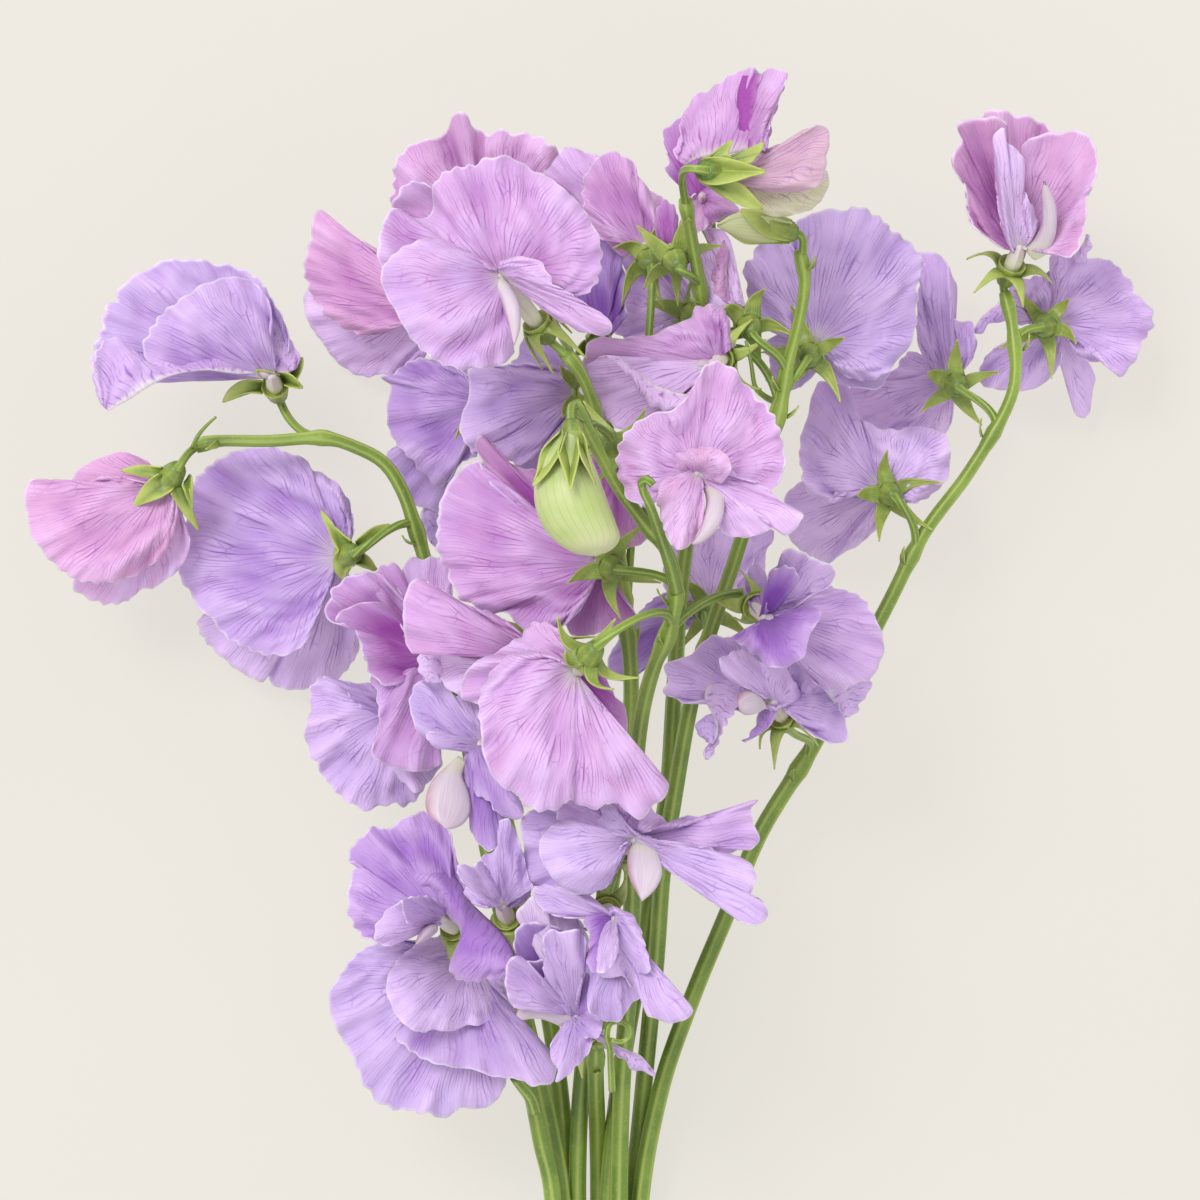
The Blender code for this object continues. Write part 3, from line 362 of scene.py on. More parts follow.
blooms["centre"] = [
    dict(calyx=(573, 434, 117), throat=(3, 21, 1), node=(1, -32), rosy=0,
         bud=(19, 119, 4), width=9, edges=(
        "-11,-6 -21,6 -28,18 -35,33 -39,53 -37,76 -28,96 -13,111 2,119 19,121",
        "7,-6 12,6 17,21 24,38 30,54 36,71 43,89 47,104 39,115 25,121"
    ), lap=(
        "-2,-4,6 -7,6,7.4 -13,18,8.4 -19,32,9 -24,49,9.2 -18,63,9.6 -8,80,9.4 4,94,8.2 16,107,6.2 "
        "27,119,2.5", "-2,-4 -13,-2 -24,9 -32,22 -36,36 -39,53 -37,71 -30,92 -18,106 -7,116 7,120 21,121"
    ), sepalRims=[
        ((-37, 46, 4),
         "-14,-1,3 -25,9,3 -32,18,2.6 -35,29,2.4 -37,40,2.4 -41,53,2 -32,46,4.5 -25,38,6.5 -19,29,7.8 "
         "-14,21,8 -11,11,7.4 -8,2,5.5", "-11,-6 -4,-6"),
        ((-3, 56, 4),
         "-11,6,6.4 -15,18,8.2 -12,29,9 -7,43,9.4 -3,57,9.4 1,44,9.4 4,32,9.2 6,20,8.6 5,6,6.8",
         "-8,-7 4,-7"),
        ((19, 46, 4),
         "4,6,6 6,16,8 9,26,8 14,35,7 23,51,4 19,36,3.6 15,22,3 14,10,3 10,0,3", "1,-7 7,-6"),
    ]),
    dict(calyx=(612, 444, 92), throat=(8, 22, -10), node=(-21, -7), rosy=0.8, petals=[
        ("standard", (22, 96, -20), 180, dict(rosy=1, deep=0.75, ruffle=0.5),
         "-6,18 -12,36 -12,54 -8,68 -2,81 5,96 12,104 23,102 33,97 36,86 30,71 24,56 20,41 18,26"),
    ], more=[
        ("wing", (-20, 56, -16), 180, dict(rosy=0.2, deep=0.6, ruffle=0.2),
         "0,14 -12,12 -22,11 -24,26 -18,41 -12,56 -2,56 6,36"),
    ]),
    dict(calyx=(682, 464, 97), throat=(18, 10, 13), node=(-30, 68), rosy=1, keel=(
        (11, 79, 25),
        "20,18 24,36 22,51 18,66 11,79", "37,19 42,33 42,47 38,60 29,71 19,78 10,80"
    ), petals=[
        ("standard", (32, -102, 10), 0, dict(rosy=0.3, bulge=-1, ruffle=0.9),
         "-34,44 -52,36 -62,16 -65,-9 -58,-29 -42,-44 -27,-51 -10,-54 0,-62,1 8,-72,2 16,-86,2 23,-98,1 "
         "30,-102 38,-102,-1 52,-95 63,-80 76,-66 88,-54 96,-38 101,-18 103,1 98,16 88,28"),
        ("wing", (-2, 85, 25), 10, dict(rosy=0.7, pale=0.25, bulge=3.5, ruffle=0.3),
         "8,14 -7,13 -17,15 -23,23 -25,34 -22,48 -19,61 -14,74 -8,82 -2,86 5,83 10,78 15,69 20,59 22,46 "
         "21,33 20,21"),
        ("wing", (114, 56, 19), 0, dict(rosy=0.2, pale=0.35, bulge=2),
         "30,20 43,16 51,8 60,14 75,19 88,27 98,36 108,42 121,51 118,59 104,72 97,62 83,68 68,73 53,73 42,70 "
         "38,60 32,36"),
    ], more=[
        ("standard", (46, -12, 23), 0, dict(pale=0.4, bulge=4, ruffle=0.3),
         "10,21 -4,16 -14,9 -17,5 -11,-3 -2,-11 11,-15 26,-17 37,-14 45,-8 49,2 47,10 40,18 29,20"),
    ]),
    dict(calyx=(613, 568, 92), throat=(-17, -6, -10), node=(63, 32), rosy=0.7, petals=[
        ("standard", (-177, -26, -14), 180, dict(rosy=0, bulge=3, ruffle=0.7, deep=0.3),
         "-31,-20 -51,-32 -68,-43 -83,-52 -98,-61 -113,-73 -123,-85 -131,-96 -135,-107 -143,-105 -151,-100 "
         "-160,-90 -168,-78 -173,-65 -175,-48 -176,-35 -176,-20 -172,-8 -166,2 -162,14 -155,29 -143,35 "
         "-133,41 -123,46 -108,44 -95,57 -83,66 -68,68 -53,60 -33,42 -21,20"),
        ("wing", (-73, 62, -24), 180, dict(rosy=0.3, deep=0.7),
         "-25,7 -41,22 -48,37 -50,52 -43,64 -33,70 -18,66 -1,63 17,58 24,50 17,38 2,22 -7,10"),
        ("wing", (-113, -88, -28), 180, dict(rosy=0.8, deep=0.95, ruffle=0.5),
         "-37,-23 -55,-36 -73,-46 -88,-55 -101,-66 -113,-78 -121,-92 -130,-106 -136,-118 -138,-124 -135,-133 "
         "-129,-131 -121,-124 -113,-113 -103,-105 -93,-100 -78,-98 -65,-94 -53,-84 -38,-63 -25,-33"),
    ]),
    dict(calyx=(591, 654, 108), throat=(-19, 22, -6), node=(77, -21), rosy=1, petals=[
        ("standard", (-29, 166, -5), 180, dict(rosy=0.1, pale=0.2, bulge=5, ruffle=0.9),
         "-29,10 -38,4 -46,0 -55,-2 -63,-3 -73,-1 -84,3 -93,10 -100,19 -106,29 -110,38 -112,49 -112,62 "
         "-110,76 -109,94 -106,106 -101,117 -94,128 -83,136 -70,143 -69,149 -62,153 -51,157 -39,156 "
         "-29,152,1 -21,146,2 -17,146,-1 -9,152,-1 1,155 12,152 23,148 33,155 43,163 50,166 57,158 63,150 "
         "71,146 78,133 69,119 57,109 39,97 29,89 19,81 7,72 -3,62 -11,48"),
        ("wing", (-129, 14, -16), 180, dict(rosy=0.15, pale=0.1, bulge=2.5),
         "-15,-2 -23,-14 -31,-24 -41,-30 -51,-32 -61,-29 -69,-18 -83,-10 -93,-2 -108,4 -120,12 -127,22 "
         "-130,36 -129,44 -116,49 -101,52 -61,52"),
        ("wing", (-91, 81, -18), 180, dict(breadth=0.6)),
    ], more=[
        ("wing", (24, 66, -16), 180, dict(rosy=0.2, deep=1, ruffle=0.5),
         "-7,14 -13,36 -9,48 1,59 13,61 22,66 34,83 36,68 33,52 25,44 21,36 15,24 7,14"),
    ]),
    dict(calyx=(753, 603, 74), throat=(13, 16, 9), node=(-89, 42), rosy=0.5, petals=[
        ("standard", (127, 41, -2), 15, dict(rosy=0.9, bulge=3, ruffle=0.8),
         "25,11 37,4 47,-3 55,-8 66,-14 79,-16 96,-11 109,-5 119,9 126,22 130,35 131,47 127,59 123,68 116,77 "
         "103,80 92,86 80,88 69,85 59,77 56,65 52,52 42,45 27,32"),
        ("wing", (71, -47, 14), 30, dict(rosy=0.8, bulge=-1.5, pale=0.6),
         "15,5 13,-8 15,-23 17,-33 25,-37 30,-43,1 29,-51,2 35,-53,2 44,-53,1 52,-49 59,-45 69,-41 79,-37 "
         "82,-31 80,-23 75,-16 58,-8 47,1 33,11"),
        ("wing", (31, 63, 20), 0, dict(rosy=1, deep=0.75, bulge=3),
         "7,25 -7,30 -15,32 -24,36,1 -18,38 -10,42 -4,48 5,53 12,61 23,65 35,63 44,58 51,54 53,47 55,37 "
         "60,26,1 67,16,2 67,9,3 61,4,2 53,4,1 43,8 27,14"),
    ], more=[
        ("wing", (37, -31, 18), 30, dict(rosy=1, deep=1, ruffle=0.2),
         "15,9 13,-7 14,-23 20,-32 30,-37 40,-35 45,-28 43,-19 37,-9 27,5"),
        ("wing", (2, -38, -6), 0, dict(rosy=0.2, deep=0.3, ruffle=0.2),
         "-3,3 -9,-11 -7,-25 -1,-38 7,-37 13,-28 15,-13 13,3"),
    ]),
]
blooms["tall"] = [
    dict(calyx=(784, 231, 78), throat=(-16, -3, 0), node=(16, 21), rosy=0.2,
         bud=(-67, -9, 0), width=3.6, edges=(
        "8,-9 -2,-15 -16,-19 -29,-21 -42,-20 -55,-15 -67,-7",
        "8,9 -4,12 -16,13 -31,12 -44,8 -56,2 -67,-4"
    ), sepalRims=[
        ((-44, -21, 1),
         "1,10,2 -9,8,3 -18,6,3.4 -27,0,3.6 -34,-7,3.6 -40,-15,3.2 -44,-22,2.4 -34,-22,2.4 -24,-20,2.4 "
         "-14,-17,2 -2,-15,2 5,-12,2", "10,10 13,1 10,-9"),
        ((-64, -5, -1),
         "-4,13,0 -19,11,0 -36,13,0 -46,9,0 -56,2,0 -68,-7,0 -56,-5,1.6 -42,-3,2.2 -29,-1,2.4 -22,4,2.2 "
         "-16,7,2", "6,12 0,9"),
    ]),
    dict(calyx=(750, 328, 71), throat=(-8, -18, -6), node=(36, 44), rosy=0.8, sepals=110, petals=[
        ("standard", (-36, -98, -10), 180, dict(rosy=0.9, ruffle=0.4, bulge=2, pale=0.8),
         "-20,-10 -38,-20 -52,-21 -57,-31 -59,-42 -54,-56 -50,-72 -40,-80 -34,-85 -40,-91 -46,-97 -42,-100 "
         "-32,-99 -23,-94 -18,-80 -17,-63 -19,-47 -20,-33 -12,-24"),
    ], more=[
        ("wing", (-38, -66, -4), 180, dict(rosy=0.9, deep=0.2, ruffle=0.3),
         "-30,-20 -38,-32 -38,-50 -33,-68 -28,-84", "-15,-24 -22,-38 -24,-58 -23,-78 -26,-88"),
    ]),
    dict(calyx=(809, 356, 62), throat=(7, -14, -12), node=(-29, 54), rosy=0.25, petals=[
        ("standard", (33, -150, -16), 180, dict(rosy=0.3, pale=0.15, bulge=4, ruffle=0.7),
         "-9,-4 -16,-21 -21,-56 -21,-86 -19,-111 -13,-133 -4,-139 12,-145 24,-147 38,-145 43,-149 55,-148 "
         "63,-142 73,-137 82,-126 94,-119 105,-108 112,-100 113,-90 112,-81 107,-70 109,-61 106,-47 108,-35 "
         "105,-24 101,-10 91,0 84,11 70,21 54,24 38,21 28,14 20,4"),
        ("wing", (-41, 18, -28), 180, dict(breadth=0.45)),
        ("wing", (81, -16, -31), 180, dict(breadth=0.6)),
    ], more=[
        ("standard", (-63, -66, -10), 180, dict(rosy=0.2, pale=0.2, bulge=2, ruffle=0.6),
         "-3,-4 -14,-16 -22,-23 -30,-23 -39,-25 -49,-31 -57,-42 -61,-59 -62,-73 -66,-84 -63,-94 -56,-97 "
         "-55,-105 -49,-112 -37,-114 -28,-112 -18,-111 -12,-96 -9,-66 1,-26"),
    ]),
    dict(calyx=(706, 612, 38), throat=(2, -10, -8), node=(-2, 43), rosy=0.3, sepals=105, petals=[
        ("standard", (36, -82, -12), 180, dict(rosy=0.7, bulge=2, pale=0.85),
         "-14,5 -30,2 -38,-12 -42,-32 -40,-52 -35,-66 -26,-70 -6,-77 14,-84 29,-79 41,-75 47,-66 48,-53 "
         "43,-42 34,-32 26,-19 15,-8"),
        ("wing", (-56, 18, -20), 180, dict(rosy=0.2, deep=0.6),
         "-11,-20 -31,-22 -51,-14 -66,0 -86,26 -98,48 -94,66 -84,69 -71,65 -60,55 -51,38 -40,22 -21,18 "
         "-1,10"),
        ("wing", (54, -42, -21), 180, dict(rosy=0.1, pale=1, ruffle=0.4),
         "10,-22 29,-47 39,-67 49,-80 59,-83 67,-81 67,-71 61,-64 59,-52 57,-38 39,-22 19,-6"),
    ]),
    dict(calyx=(727, 354, 72), throat=(-17, 12, 6), node=(51, 66), rosy=0.9, sepals=130, petals=[
        ("standard", (-125, -10, 2), 0, dict(rosy=0.25, bulge=3, ruffle=0.5, deep=0.25),
         "9,-9 5,-22 1,-36 -3,-47 -11,-46 -20,-49 -32,-45 -39,-33 -51,-31 -64,-23 -77,-18 -92,-18 -107,-15 "
         "-126,-17 -136,-13 -141,-7 -143,4 -144,16 -131,18 -115,20 -97,26 -79,34 -62,42 -37,46"),
        ("wing", (-135, 56, 6), 0, dict(rosy=0, pale=0.5, bulge=2, ruffle=0.4),
         "-111,8 -121,2 -130,5 -139,12 -143,22 -146,36 -139,45 -131,54 -123,64 -113,72 -103,78 -94,82 -86,74 "
         "-77,64 -66,57 -45,54 -27,46"),
        ("wing", (-67, -34, -2), 0, dict(rosy=0.7, deep=0.55, bulge=-1, ruffle=0.3),
         "-23,24 -37,38 -52,43 -72,38 -87,30 -102,18 -114,7 -102,4 -82,6 -62,5 -42,2 -25,2"),
    ], more=[
        ("wing", (-97, 26, 12), 0, dict(rosy=0.7, pale=0.9, bulge=2, ruffle=0.4),
         "-115,6 -106,14 -97,23 -90,34 -84,44 -72,53 -57,57 -41,52",
         "-123,2 -111,3 -101,10 -90,19 -79,27 -66,34 -51,39 -33,42"),
    ]),
]
blooms["top"] = [
    dict(calyx=(714, 172, 106), throat=(26, 5, -8), node=(-28, 33), rosy=0.9, sepalRims=[
        ((16, -26, -1),
         "-8,-15,0 -1,-18,0 5,-23,0 11,-28,0 19,-32,0 17,-25,1 14,-19,2 19,-14,2", "-14,-11 -2,-12"),
        ((46, -26, -1),
         "19,-14,0 28,-20,0 36,-23,0 43,-26,0 50,-30,0 48,-22,1 43,-16,1 38,-10,2 28,-8,2", "2,-12 8,-6"),
        ((44, 34, -2),
         "-12,11,0 -2,17,0 8,24,0 21,31,1 34,36,1 49,38,1 46,31,2 38,22,2.6 30,14,3 22,10,3 8,6,3",
         "-17,6 -11,-2"),
        ((50, 0, 1),
         "-8,12,2 2,13,3.6 14,11,4.4 26,8,4.4 38,4,4 53,0,3 42,-5,4 31,-9,4.4 21,-12,4.2 8,-15,3 -5,-15,2",
         "-15,9 -19,-2 -13,-12"),
    ], petals=[
        ("standard", (20, -104, -16), 150, dict(rosy=0.2, bulge=2, ruffle=0.5, deep=0.15),
         "-38,-14 -40,-22 -34,-34 -34,-50 -29,-59 -25,-68 -17,-77 -5,-82 4,-88 14,-96 23,-100 32,-103 "
         "39,-105,2 43,-102,-2 47,-98,-4 56,-104,1 65,-102,3 74,-99,3 70,-87,2 65,-73 60,-61 57,-50 54,-38 "
         "54,-26", "-30,-7 -14,-14 6,-16 26,-20 52,-22"),
        ("wing", (116, -16, -8), 0, dict(rosy=1, bulge=3, deep=0.35, green=0.25),
         "30,-7 42,-16 49,-22 60,-26 77,-32 86,-40 98,-44 106,-48 116,-36 113,-19 112,-5 108,10 92,18 74,20 "
         "56,20 38,16"),
        ("wing", (112, -8, -22), 180, dict(rosy=0.8, green=0.85, bulge=2),
         "36,-4 66,-4 91,0 114,0 112,20 107,28 98,37 86,41 72,44 58,44 49,39 42,27 30,16"),
    ], more=[
        ("wing", (43, -97, -10), 150, dict(rosy=1, deep=1, ruffle=0.2),
         "40,-22 41,-37 43,-57 46,-77 46,-96", "29,-22 26,-37 24,-57 24,-77 29,-96"),
        ("wing", (67, -92, -9), 150, dict(rosy=1, deep=0.7, ruffle=0.2),
         "53,-24 56,-38 59,-54 65,-72 70,-86 72,-96", "46,-26 43,-42 43,-60 45,-76 46,-88"),
    ]),
    dict(calyx=(708, 212, 52), throat=(-6, -14, 8), node=(-5, 128), rosy=0.6, petals=[
        ("standard", (-32, -94, 4), 0, dict(rosy=0, deep=0.95),
         "-16,-10 -24,-26 -36,-34 -42,-42 -40,-54 -43,-67 -45,-78 -41,-85 -36,-90 -28,-94 -22,-99 -8,-92 "
         "4,-72 7,-42 4,-20"),
        ("wing", (30, 12, 18), 0, dict(rosy=0.5, deep=0.5, bulge=2.5, ruffle=0.4),
         "-18,-8 -20,-16 -18,-26 -11,-31 2,-27 14,-17 27,-7 32,1 18,4 7,11 -1,17 -8,14 -14,0"),
        ("wing", (-18, 20, 18), 0, dict(breadth=0.35)),
    ]),
    dict(calyx=(676, 262, 74), throat=(-8, -16, -6), node=(24, 23), rosy=0.6, sepals=75, petals=[
        ("standard", (-20, -60, -10), 180, dict(rosy=0, ruffle=0.3, bulge=2, deep=0.95),
         "-17,-16 -20,-27 -21,-42 -18,-54 -12,-61 -4,-58 1,-47 2,-34 0,-18"),
    ]),
    dict(calyx=(692, 316, 43), throat=(-8, -10, -8), node=(11, 54), rosy=0.5, petals=[
        ("standard", (-80, -36, -13), 180, dict(rosy=0.9, bulge=2, pale=0.7),
         "-2,0 -16,7 -30,15 -47,19 -67,22 -80,12 -70,6 -64,-3 -68,-13 -62,-26 -64,-39 -70,-54 -72,-71 "
         "-80,-84 -90,-91 -77,-98 -62,-92 -47,-84 -36,-76 -24,-61 -12,-46 -2,-33 4,-18"),
        ("wing", (-42, 34, -23), 180, dict(breadth=0.6)),
        ("wing", (-42, -76, -26), 180, dict(breadth=0.5)),
    ]),
]
blooms["front"] = [
    dict(calyx=(543, 331, 94), throat=(-44, -59, 10), node=(29, 31), rosy=0.7, keel=(
        (-29, 13, 20),
        "-54,-54 -47,-41 -41,-26 -35,-6 -30,12", "-49,-57 -38,-51 -29,-39 -23,-23 -23,-3 -28,13"
    ), petals=[
        ("standard", (-59, -179, 2), 0, dict(rosy=0.15, deep=0.2, ruffle=0.7),
         "-113,-1 -147,-29 -162,-61 -165,-86,1 -159,-111,2 -150,-123,2 -138,-118,-1 -129,-112,-2 "
         "-116,-114,-2 -109,-125,-1 -111,-141,1 -101,-157,1 -85,-164 -69,-166,-1 -57,-173 -43,-175,1 "
         "-28,-172 -11,-161,-1 5,-154 20,-143 37,-126 50,-107 58,-86 58,-66 54,-49 45,-39 34,-35 17,-44 "
         "-3,-51"),
        ("wing", (-145, -9, 16), 0, dict(rosy=0, ruffle=0.6, bulge=4),
         "-55,-67 -64,-63,1 -75,-73,1 -85,-84 -98,-90 -113,-92 -128,-89 -141,-83 -153,-73 -161,-62 -162,-51 "
         "-157,-36 -147,-19 -136,1 -125,15 -110,28,1 -95,35,1 -78,38 -63,36,1 -48,36 -36,29 -29,21 -34,7 "
         "-39,-9 -41,-26"),
        ("wing", (66, -2, 14), 35, dict(rosy=0.2, pale=0.35, ruffle=0.5, bulge=3),
         "-43,-69 -31,-73,2 -15,-74,3 -1,-67,3 6,-57,3 10,-47,3 23,-40,2 37,-31,1 49,-23 61,-16 68,-8 68,1 "
         "59,5 47,2 35,0 27,-7 17,-9 9,-19"),
    ]),
    dict(calyx=(508, 262, 46), throat=(-28, -26, 10), node=(88, 148), rosy=0.8, petals=[
        ("standard", (-58, -149, 8), 0, dict(rosy=0.6, deep=0.2, ruffle=0.8, bulge=-2),
         "-106,-22 -117,-54 -115,-76 -114,-96 -106,-110 -90,-121,1 -72,-124 -60,-133,1 -56,-146,3 -48,-151,4 "
         "-40,-145,3 -36,-135,-2 -27,-132,-3 -21,-127 -8,-132,1 7,-129,1 22,-128 34,-124,1 44,-116,2 "
         "51,-112,2 48,-104 40,-96 35,-87 22,-67"),
        ("wing", (-106, -66, 20), 0, dict(rosy=0.2),
         "-68,-44 -96,-43 -112,-50 -115,-59 -110,-69 -101,-79 -88,-80 -78,-75 -72,-66"),
        ("wing", (-68, 38, 20), 0, dict(breadth=0.8)),
    ]),
    dict(calyx=(650, 262, 58), throat=(-6, -18, -10), node=(-25, 378), rosy=0.7, petals=[
        ("standard", (-46, -106, -12), 180, dict(rosy=0.4, deep=0.3, ruffle=0.5, bulge=2),
         "-50,-22 -58,-40 -66,-56 -67,-74 -63,-91,1 -55,-100,2 -47,-109,2 -34,-110,2 -24,-104,2 -15,-99,1 "
         "-14,-88 -5,-78 3,-62 7,-46 6,-28 1,-19"),
        ("wing", (-78, -104, -24), 180, dict(rosy=0, pale=0.2, ruffle=1.4),
         "-75,-37 -95,-77 -105,-88 -102,-101 -92,-110 -80,-115 -69,-111 -58,-108 -50,-104 -46,-87"),
        ("wing", (-30, -72, -27), 180, dict(breadth=0.5)),
    ]),
    dict(calyx=(598, 350, 51), throat=(4, -12, -8), node=(26, 250), rosy=0.1, sepals=160, petals=[
        ("standard", (22, -116, -11), 180, dict(deep=0.75, ruffle=0.5),
         "-38,-40 -33,-90 -18,-118 -1,-123 10,-118 19,-110 25,-96,1 24,-83,-1 31,-73,1 33,-63,1 28,-52,-1 "
         "26,-44 30,-36,1 22,-28 12,-23 6,-16"),
    ]),
    dict(calyx=(590, 392, 64), throat=(-16, 2, -7), node=(22, 128), rosy=0.2, petals=[
        ("standard", (-130, 20, -8), 180, dict(rosy=0.6, pale=0.1, bulge=2, ruffle=0.7),
         "-6,-16 -25,-24 -45,-28 -70,-28 -95,-26 -115,-25 -122,-20 -120,-5 -122,8 -127,20 -130,33 -129,43 "
         "-123,53 -116,62 -113,53 -112,44 -105,44 -98,52 -90,63 -78,71 -65,71 -52,60 -40,48 -30,38 -22,24 "
         "-12,12"),
        ("wing", (-75, -40, -18), 180, dict(breadth=0.5)),
        ("wing", (-60, 78, -20), 180, dict(rosy=0.8, deep=0.3, ruffle=0.4),
         "-24,12 -45,28 -65,48 -76,66 -75,74 -68,79 -58,81 -48,78 -38,68 -24,48 -12,16"),
    ]),
]
blooms["left"] = [
    dict(calyx=(277, 392, 38), throat=(-6, -18, 8), node=(48, 46), rosy=0.3, sepalRims=[
        ((-54, 10, 1),
         "-15,2,2 -27,1,2 -39,3,2 -48,7,1.5 -55,11,1 -52,3,1.5 -46,-5,2 -36,-11,2.6 -23,-12,3 -13,-11,3",
         "-13,-1 -11,-9"),
        ((26, -34, 1),
         "6,-15,3 12,-19,3 18,-26,2.6 22,-32,2 26,-35,1 26,-26,2 23,-18,2.6 19,-11,3 14,-6,3", "5,-13 12,-7"),
        ((25, -5, 4),
         "4,-19,5 10,-19,5.5 16,-16,5 21,-11,4 26,-4,2 18,-4,4 12,-5,4.5 7,-7,4", "3,-16 9,-8"),
        ((-17, -20, 4),
         "-13,-12,4 -17,-16,5 -21,-22,5.5 -11,-21,6 -3,-19,6 3,-17,5", "-11,-12 1,-16"),
    ], petals=[
        ("standard", (-183, -90, 2), 0, dict(ruffle=0.7, bulge=-2),
         "-182,-7 -186,-30 -181,-52 -176,-62 -174,-78 -169,-88 -161,-92 -159,-102 -151,-111 -139,-119 "
         "-127,-124 -117,-131 -105,-133 -91,-132 -79,-133 -65,-129 -49,-127 -35,-123 -23,-116 -14,-108 "
         "-7,-96 1,-83 8,-69 12,-54 11,-37"),
        ("wing", (-127, -104, 16), 0, dict(rosy=0.5, deep=0.15, ruffle=0.5, bulge=3),
         "-127,-27 -135,-44 -129,-58 -122,-70 -111,-82 -97,-92 -86,-100 -75,-107 -61,-112 -47,-115 -31,-113 "
         "-19,-106 -10,-94 -6,-82 -8,-66 -11,-47"),
        ("wing", (-173, 6, 22), 15, dict(rosy=0.8, ruffle=0.4, bulge=1),
         "-177,10 -182,-6 -184,-28 -177,-46 -164,-55 -153,-49 -145,-45 -138,-35 -127,-28 -113,-31 -103,-26 "
         "-93,-26 -83,-32 -75,-38 -65,-42 -55,-49 -35,-52 -23,-57 -13,-60 -1,-58 11,-53 20,-42 23,-32 "
         "19,-23",
         "-169,19 -147,7,1 -129,-5,2 -109,-15,2 -91,-20,2 -73,-22,2 -55,-20,1 -37,-18 -17,-19 -2,-19 "
         "13,-20"),
    ]),
    dict(calyx=(174, 473, 48), throat=(-14, 17, -7), node=(22, -26), rosy=1, sepalRims=[
        ((-53, -2, -3),
         "-14,7,1 -26,5,1 -40,2,0 -53,-2,-1 -45,-6,0 -34,-8,1 -22,-7,2 -13,-6,2", "-8,6 -11,-5"),
        ((-43, 37, -3),
         "-2,17,2 -12,24,2 -22,28,1 -33,32,0 -44,37,-1 -39,27,0 -33,16,1 -25,7,2 -16,1,3", "2,13 -10,1"),
        ((24, 57, -4),
         "16,17,2 18,29,1 19,39,0 22,48,-1 25,58,-2 17,50,-1 9,40,0 2,30,1 -3,20,2", "14,11 0,14"),
        ((19, 35, -2),
         "18,5,2 19,15,2 19,25,1 19,35,0 14,28,1 11,20,2 8,12,2", "16,1 10,10"),
    ], petals=[
        ("standard", (-124, 103, -8), 180, dict(ruffle=0.6, bulge=3),
         "-24,11 -46,6 -64,2 -76,5 -89,10 -104,15 -117,13 -129,10 -141,6,1 -148,14,1 -150,27 -147,43 -143,62 "
         "-134,75 -122,89 -109,100 -96,107 -82,109 -67,109 -53,107 -38,102 -24,93 -11,82 -2,67 4,52 6,37 "
         "4,24"),
        ("wing", (-52, 130, -19), 180, dict(rosy=0.9, pale=0.6, ruffle=0.7),
         "-98,97 -101,114 -94,121 -84,126 -69,131 -54,130 -42,125 -34,117 -22,115 -8,107 4,97 13,83 16,68 "
         "12,53 7,37"),
        ("wing", (-104, 42, -21), 180, dict(breadth=0.6)),
    ]),
    dict(calyx=(351, 554, 40), throat=(-13, 2, -8), node=(62, -19), rosy=0.2, sepalRims=[
        ((-31, -44, -2),
         "-13,-4,2 -19,-14,2 -23,-24,1 -28,-34,0 -31,-44,-1 -23,-37,0 -16,-28,1 -8,-20,2 1,-13,2",
         "-10,-2 1,-11"),
        ((38, -29, -2),
         "4,-13,2 11,-19,2 19,-25,2 28,-29,1 39,-30,0 34,-24,1 28,-18,2 21,-13,2 13,-8,2", "5,-10 11,-3"),
        ((-9, 24, -4),
         "3,10,2 -1,16,1 -5,21,1 -9,25,0 -15,19,1 -18,10,1 -17,2,2 -12,-4,2", "1,9 -11,2"),
        ((27, 18, -3),
         "13,-1,2 19,4,2 24,11,1 28,19,0 19,16,1 11,13,2 4,10,2", "11,1 3,9"),
    ], petals=[
        ("standard", (-185, 20, -14), 180, dict(rosy=0.45, deep=0.15, ruffle=0.8),
         "-5,-6 2,-19 2,-36 -3,-54 -13,-69 -26,-79,-1 -39,-84 -46,-95,1 -66,-102,1 -79,-108 -96,-107 "
         "-111,-104 -126,-99 -141,-89 -154,-76 -162,-66,-1 -165,-52,-3 -164,-34,1 -170,-9,2 -173,11,1 "
         "-168,30 -161,36 -154,53 -141,63 -126,82 -108,92 -89,100 -66,101 -51,94 -39,78 -27,49"),
        ("wing", (-63, 136, -40), 180, dict(rosy=0.1, pale=0.9, ruffle=0.9),
         "-126,46 -145,59 -153,68 -150,80 -139,94 -125,107,1 -107,120 -89,128 -83,121,-1 -78,131 -59,136,1 "
         "-39,133 -16,126 1,109 8,91 -3,66"),
        ("wing", (-101, -54, -28), 180, dict(breadth=0.6)),
    ]),
]
